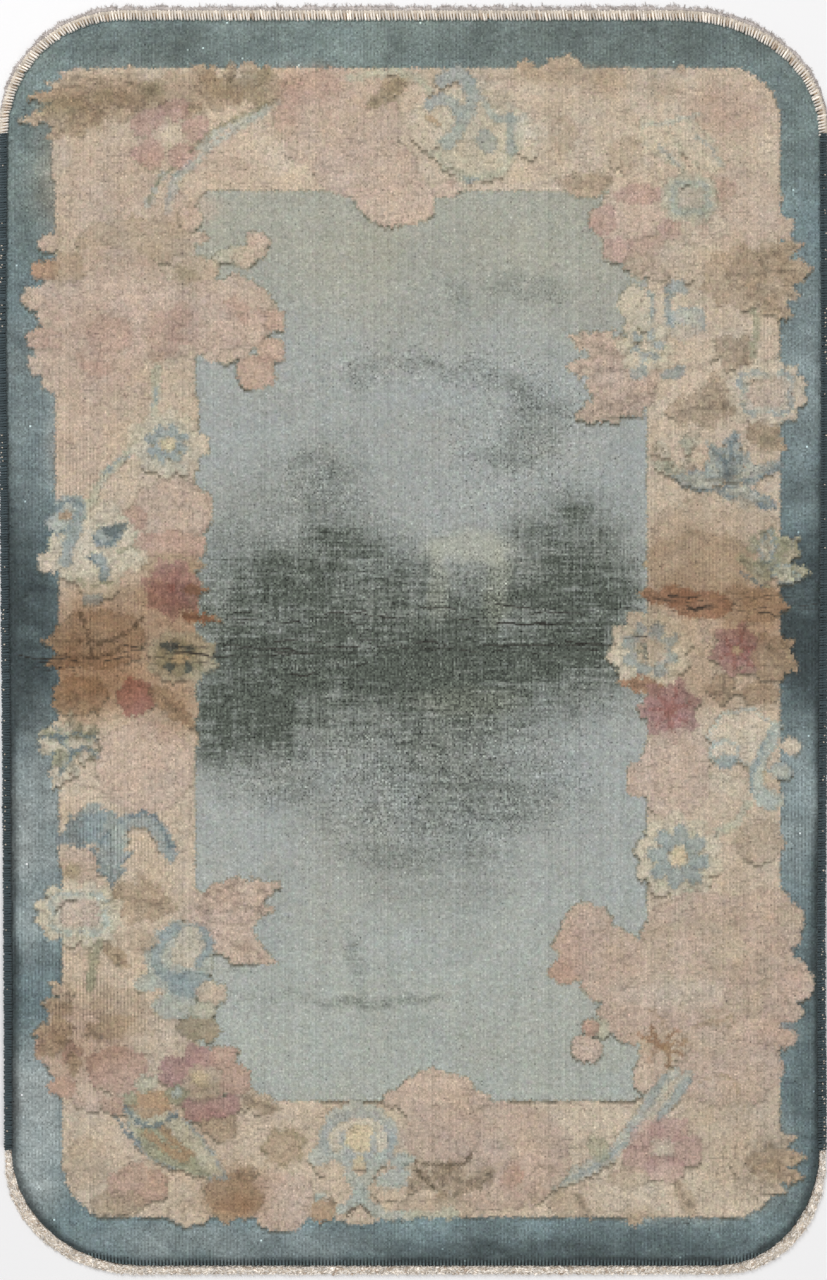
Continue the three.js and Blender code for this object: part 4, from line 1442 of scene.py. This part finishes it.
def resample(points, pitch):
    """Places every so far along a line, with their outward directions."""
    steps = np.linalg.norm(np.diff(points, axis=0), axis=1)
    travel = np.concatenate([[0], np.cumsum(steps)])
    places = np.linspace(0, travel[-1], max(2, int(round(travel[-1] / pitch)) + 1))
    line = np.stack([np.interp(places, travel, points[:, k]) for k in (0, 1)], axis=1)
    heading = np.gradient(line, axis=0)
    for _ in range(3):
        heading[1:-1] = (heading[:-2] + heading[1:-1] + heading[2:]) / 3
    heading /= np.linalg.norm(heading, axis=1)[:, None]
    return line, np.stack([heading[:, 1], -heading[:, 0]], axis=1), heading


def sweep(name, line, outward, sections, material, colours):
    """A closed bar: at each place its section gives offsets from the edge and heights."""
    count, sides = sections.shape[:2]
    xy = line[:, None, :] + outward[:, None, :] * sections[..., :1]
    points = np.concatenate([xy, sections[..., 1:]], axis=2).reshape(-1, 3)
    faces = []
    for step in range(count - 1):
        for side in range(sides):
            a, b = step * sides + side, step * sides + (side + 1) % sides
            faces.append((a, b, b + sides, a + sides))
    last = (count - 1) * sides
    for side in range(1, sides - 2, 2):
        faces.append((0, side + 2, side + 1, side))
        faces.append((last, last + side, last + side + 1, last + side + 2))
    return mesh_object(name, points, faces, material, colours)


def tubes(name, paths, radii, sides, material, colours):
    """Many short lengths of yarn as one mesh. Paths: yarns, places along each, x y z."""
    paths = np.asarray(paths, float)
    yarns, places = paths.shape[:2]
    ahead = np.gradient(paths, axis=1)
    ahead /= np.linalg.norm(ahead, axis=2, keepdims=True) + 1e-9
    beside = np.cross(ahead, [0.03, 0.02, 1.0])
    beside /= np.linalg.norm(beside, axis=2, keepdims=True) + 1e-9
    over = np.cross(beside, ahead)
    angle = np.arange(sides) / sides * 2 * math.pi
    ring = (beside[:, :, None, :] * np.cos(angle)[None, None, :, None]
            + over[:, :, None, :] * np.sin(angle)[None, None, :, None])
    points = (paths[:, :, None, :] + ring * np.asarray(radii)[..., None, None]).reshape(-1, 3)
    base = np.arange(yarns)[:, None, None] * places * sides
    step = np.arange(places - 1)[None, :, None] * sides
    side = np.arange(sides)[None, None, :]
    after = (side + 1) % sides
    quads = np.stack(np.broadcast_arrays(base + step + side, base + step + after,
                                         base + step + sides + after, base + step + sides + side), axis=-1)
    quads = quads.reshape(-1, 4)
    start = base[:, 0, 0]
    end = start + (places - 1) * sides
    faces = [quads]
    for k in range(0, sides - 2, 2):
        faces.append(np.stack([start, start + k + 3, start + k + 2, start + k + 1], axis=1))
        faces.append(np.stack([end, end + k + 1, end + k + 2, end + k + 3], axis=1))
    shades = np.repeat(np.asarray(colours)[:, None, :], places * sides, axis=1).reshape(-1, 3)
    return mesh_object(name, points, np.vstack(faces), material, shades)


def varied(name, count, spread, seed, soiled=0):
    """A yarn's colour once for each stitch, some paler and some darker, and a share of them soiled."""
    draw = np.random.default_rng(seed)
    shades = srgb(name) * (1 + draw.normal(0, spread, (count, 1)))
    dirty = (draw.random((count, 1)) < soiled) * draw.uniform(0.1, 0.5, (count, 1))
    return shades * (1 - dirty) + srgb("stain") * dirty


# Widths of the finishes along a side, along an end and at the middle of a corner
FINISH_WIDTH = {
    "end_overcast_top": (8, 10, 10),
    "end_web_bottom": (6, 10.5, 14),
    "selvedge_left": (8, 8, 8),
    "selvedge_right": (8, 8, 8),
}


def width_at(node, outward):
    """How wide the finish is, by how much the edge faces the rug's end."""
    side, end, corner = FINISH_WIDTH[node]
    straight = side + (end - side) * np.abs(outward[:, 1])
    return straight + (corner - straight) * 2 * np.abs(outward[:, 0] * outward[:, 1])


def top_of(node):
    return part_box(node)[1].z / MM


# Where a stitch's ends stand, and how much higher the one in the pile is
STITCH_FOOT, PILE_FOOT_RISE = 2.2, 3.0


def whip_stitches(name, run, node, pitch, yarn_radius, yarn, material, seed,
                  reach_in, slant, uneven=1, sides=6, soiled=0):
    """Stitches that wrap over an edge finish from the pile to its outer side."""
    draw = np.random.default_rng(seed)
    line, outward, heading = resample(run, pitch)
    rise = top_of(node) - yarn_radius * 0.7 - STITCH_FOOT
    wide = width_at(node, outward) + 0.3
    count = len(line)
    turn = np.radians(np.linspace(168, -14, 7))
    middle, half = (wide - reach_in) / 2, (wide + reach_in) / 2 - yarn_radius * 0.6
    jitter = draw.normal(0, 0.25 * uneven, (count, 1))
    offset = middle[:, None] + half[:, None] * np.cos(turn)[None] + jitter
    z = STITCH_FOOT + rise * np.sin(np.clip(turn, 0, math.pi))[None] ** 0.55
    z = z + draw.normal(0, 0.2, (count, 1))
    z += np.where(np.cos(turn) < -0.6, PILE_FOOT_RISE, 0)[None]
    z = np.maximum(z, yarn_radius * 0.9)
    lean = (slant + draw.normal(0, 0.6, (count, 1))) * (np.linspace(-0.5, 0.5, len(turn))[None])
    lean += draw.normal(0, 0.3, (count, 1))
    xy = line[:, None] + outward[:, None] * offset[..., None] + heading[:, None] * lean[..., None]
    paths = np.concatenate([xy, z[..., None]], axis=2)
    radii = yarn_radius * (1 + draw.normal(0, 0.1, (count, 1))) * np.ones((1, len(turn)))
    return tubes(name, paths, radii, sides, material, varied(yarn, count, 0.05 * uneven, seed + 1, soiled))


def finish_core(name, run, node, inset, material, yarn, seed):
    """The padded cord under the stitches."""
    line, outward, _ = resample(run, 3)
    top = top_of(node) - inset
    wide = width_at(node, outward)[:, None]
    count = len(line)
    # The section, from its inner foot over the top to its outer foot
    offsets = np.array([0.4, 0.6, 0.3, 0.3, 0.2 - inset, 0.2 - inset])
    offsets = offsets + wide * np.array([0, 0, 0.3, 0.7, 1, 1])
    heights = np.array([0.2, top * 0.75, top, top * 0.95, top * 0.5, 0.2]) * np.ones((count, 1))
    rough = 0.3 * np.random.default_rng(seed).normal(0, 1, heights.shape)
    sections = np.stack([offsets, heights + rough * (heights > 0.5)], axis=-1)
    shades = np.repeat(varied(yarn, count, 0.06, seed + 1), heights.shape[1], axis=0)
    piece = sweep(name, line, outward, sections[:, ::-1], material, shades)
    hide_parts(node)
    return piece


def web_loops(name, run, node, rows, pitch, radius, material, yarn, seed):
    """Short uneven loops of weft in rows along a web, some of them soiled."""
    draw = np.random.default_rng(seed)
    line, outward, heading = resample(run, pitch)
    shape = (len(line), rows)
    share = np.clip((np.arange(rows) + 0.5 + draw.normal(0, 0.25, shape)) / rows, 0.02, 0.97)
    across = 0.3 + width_at(node, outward)[:, None] * share
    shift = draw.uniform(-0.5, 0.5, shape) * pitch
    middle = line[:, None] + outward[:, None] * across[..., None] + heading[:, None] * shift[..., None]
    turn = draw.normal(0, 0.6, shape)[..., None]
    reach = 0.65 * pitch * (heading[:, None] * np.cos(turn) + outward[:, None] * np.sin(turn))
    surface = (top_of(node) - 0.6) * np.interp(share, [0, 0.3, 0.7, 1], [0.8, 1, 0.95, 0.5])
    z = surface + 0.3 * radius * draw.normal(0, 1, shape)
    xy = np.stack([middle - reach, middle, middle + reach], axis=2)
    rise = np.array([-0.3, 0.5, -0.3]) * radius
    paths = np.concatenate([xy, (z[..., None] + rise)[..., None]], axis=3).reshape(-1, 3, 3)
    radii = radius * (1 + draw.normal(0, 0.15, (len(paths), 1))) * np.ones((1, 3))
    return tubes(name, paths, radii, 4, material, varied(yarn, len(paths), 0.08, seed + 1, 0.15))


def edge_rope(name, run, node, share, radius, material, yarn, seed):
    """A cord laid along a finish, some way across its width."""
    draw = np.random.default_rng(seed)
    line, outward, _ = resample(run, 4)
    offset = 0.3 + width_at(node, outward) * share + 0.3 * draw.normal(0, 1, len(line))
    z = top_of(node) - radius * 1.05 + 0.15 * draw.normal(0, 1, len(line))
    path = np.concatenate([line + outward * offset[:, None], z[:, None]], axis=1)
    pairs = np.stack([path[:-1], path[1:] + 0.15 * (path[1:] - path[:-1])], axis=1)
    shades = varied(yarn, len(pairs), 0.06, seed + 1)
    return tubes(name, pairs, np.full((len(pairs), 2), radius), 6, material, shades)


def weft_nubs(name, run, node, seed):
    """Pale ends of weft that show here and there along a side cord."""
    draw = np.random.default_rng(seed)
    line, outward, heading = resample(run, 5)
    worn_through = soft_noise((1, len(line)), 14, seed + 1)[0] > 0.3
    shown = draw.random(len(line)) < 0.06 + 0.5 * worn_through
    line, outward, heading = line[shown], outward[shown], heading[shown]
    count = len(line)
    start = draw.uniform(2.5, 5, (count, 1))
    inner = line + outward * start + heading * draw.normal(0, 1, (count, 1))
    outer = inner + outward * draw.uniform(0.8, 1.8, (count, 1)) + heading * draw.normal(0, 0.6, (count, 1))
    z = np.full((count, 1), top_of(node))
    paths = np.stack([np.hstack([inner, z]), np.hstack([outer, z - 0.3])], axis=1)
    radii = draw.uniform(0.5, 0.9, (count, 1)) * np.ones((1, 2))
    return tubes(name, paths, radii, 6, IVORY, varied("ivory", count, 0.08, seed + 2))


top_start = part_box("end_overcast_top")[0].y / MM - 0.5
bottom_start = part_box("end_web_bottom")[1].y / MM + 0.5
top_run = outline_run(first_y=top_start)
bottom_run = outline_run(last_y=bottom_start)
right_run = outline_run(bottom_start - 1, top_start + 1, 1)
left_run = outline_run(bottom_start - 1, top_start + 1, -1)


def dressed(piece):
    return piece


edge_pieces = [
    dressed(finish_core("overcast_cord_top", top_run, "end_overcast_top", 1.0, IVORY, "tan", 201)),
    dressed(whip_stitches("overcast_stitches_top", top_run, "end_overcast_top", 3.3, 1.15, "bleached",
                          IVORY, 211, reach_in=2.2, slant=2, uneven=1.4, sides=4, soiled=0.1)),
    dressed(edge_rope("overcast_rope_top", top_run, "end_overcast_top", 0.7, 2.2, IVORY, "ivory", 216)),
    dressed(finish_core("web_bottom", bottom_run, "end_web_bottom", 0.6, WEB, "ivory", 221)),
    dressed(web_loops("web_loops_bottom", bottom_run, "end_web_bottom", 5, 2.6, 0.9, WEB, "bleached", 231)),
]
side_runs = {"left": left_run, "right": right_run}
for (side, run), seed in zip(side_runs.items(), (241, 261)):
    node = f"selvedge_{side}"
    cord = finish_core(f"selvedge_cord_{side}", run, node, 1.0, DARK, "dark_wool", seed)
    edge_pieces.append(dressed(cord))
    wraps = whip_stitches(f"selvedge_wraps_{side}", run, node, 2.8, 1.3, "dark_wool", DARK, seed + 10,
                          reach_in=1.5, slant=1.0)
    edge_pieces.append(dressed(wraps))
for (side, run), seed in zip(side_runs.items(), (281, 291)):
    nubs = weft_nubs(f"weft_nubs_{side}", run, f"selvedge_{side}", seed)
    edge_pieces.append(dressed(nubs))


LOOSE_ENDS = 1500


def frayed_web():
    """A ragged cotton strip outside the overcast end, and the loose ends that stick out of it."""
    draw = np.random.default_rng(301)
    line, outward, heading = resample(top_run, 2.0)
    count = len(line)
    inner = 0.6 + width_at("end_overcast_top", outward)
    faces_end = np.abs(outward[:, 1])
    ragged = 3.6 + 1.6 * soft_noise((1, count), 4, 302)[0] + 0.8 * draw.normal(0, 1, count)
    reach = 0.6 + faces_end * ragged
    outer = inner + np.clip(reach, 0.4, 6.5)
    offsets = np.stack([inner - 1.5, outer, outer - 0.4, inner - 1.0], axis=1)
    top = 1.6 + 0.5 * soft_noise((1, count), 3, 303)[0]
    heights = np.stack([np.full(count, 0.1), np.full(count, 0.1), 0.5 * top, 1.3 * top], axis=1)
    shades = np.repeat(varied("grey_cotton", count, 0.05, 304), 4, axis=0)
    strip = sweep("frayed_web", line, outward, np.stack([offsets, heights], axis=-1), FRAY, shades)
    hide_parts("frayed_web_top")
    strands = LOOSE_ENDS
    at = draw.integers(0, count, strands)
    angle = draw.normal(0, 0.7, strands)
    length = draw.uniform(1.5, 5.0, strands) * (0.25 + 0.75 * faces_end[at])
    way = outward[at] * np.cos(angle)[:, None] + heading[at] * np.sin(angle)[:, None]
    bend = heading[at] * draw.normal(0, 0.8, strands)[:, None]
    root = line[at] + outward[at] * (outer[at] - draw.uniform(0.5, 2.5, strands))[:, None]
    rise = draw.uniform(0.4, 1.8, strands)
    places = np.linspace(0, 1, 4)
    xy = root[:, None] + way[:, None] * (length[:, None] * places)[..., None]
    xy = xy + bend[:, None] * (places ** 2)[None, :, None]
    z = rise[:, None] * (1 - 0.75 * places)[None] + 0.25
    radii = 0.32 * (1 - 0.6 * places)[None] * np.ones((strands, 1))
    fuzz = tubes("frayed_ends", np.concatenate([xy, z[..., None]], axis=2), radii, 4, FRAY,
                 varied("grey_cotton", strands, 0.08, 305))
    return [dressed(strip), dressed(fuzz)]


edge_pieces += frayed_web()


# Stage
def stage_floor():
    material, nodes, _ = principled("pale_floor")
    shader = nodes["Principled BSDF"]
    shader.inputs["Base Color"].default_value = (0.9, 0.895, 0.9, 1)
    shader.inputs["Roughness"].default_value = 0.9
    bpy.ops.mesh.primitive_plane_add(size=12)
    floor = bpy.context.object
    floor.name = "floor"
    floor.data.materials.append(material)


def area_light(name, place, target, size, power):
    data = bpy.data.lights.new(name, "AREA")
    data.size = size
    data.energy = power
    light = bpy.data.objects.new(name, data)
    bpy.context.scene.collection.objects.link(light)
    light.location = place
    aim = Vector(target) - Vector(place)
    light.rotation_euler = aim.to_track_quat("-Z", "Y").to_euler()


def lights():
    world = bpy.data.worlds.new("studio")
    world.use_nodes = True
    background = world.node_tree.nodes["Background"]
    background.inputs["Color"].default_value = (1, 1, 1, 1)
    background.inputs["Strength"].default_value = 0.5
    bpy.context.scene.world = world
    area_light("key", (-2.2, 3.4, 3.4), (0, 0, 0), 2.5, 150)
    area_light("fill", (2.0, -2.6, 4.0), (0, 0, 0), 4.0, 75)


FRAME_HEIGHT = 1.4285
LENS, SENSOR = 100, 36


def camera():
    data = bpy.data.cameras.new("camera")
    data.lens = LENS
    data.sensor_width = SENSOR
    view = bpy.data.objects.new("camera", data)
    view.location = (0, 0, FRAME_HEIGHT * LENS / SENSOR)
    bpy.context.scene.collection.objects.link(view)
    bpy.context.scene.camera = view


stage_floor()
lights()
camera()
bpy.context.scene.view_settings.view_transform = "Standard"
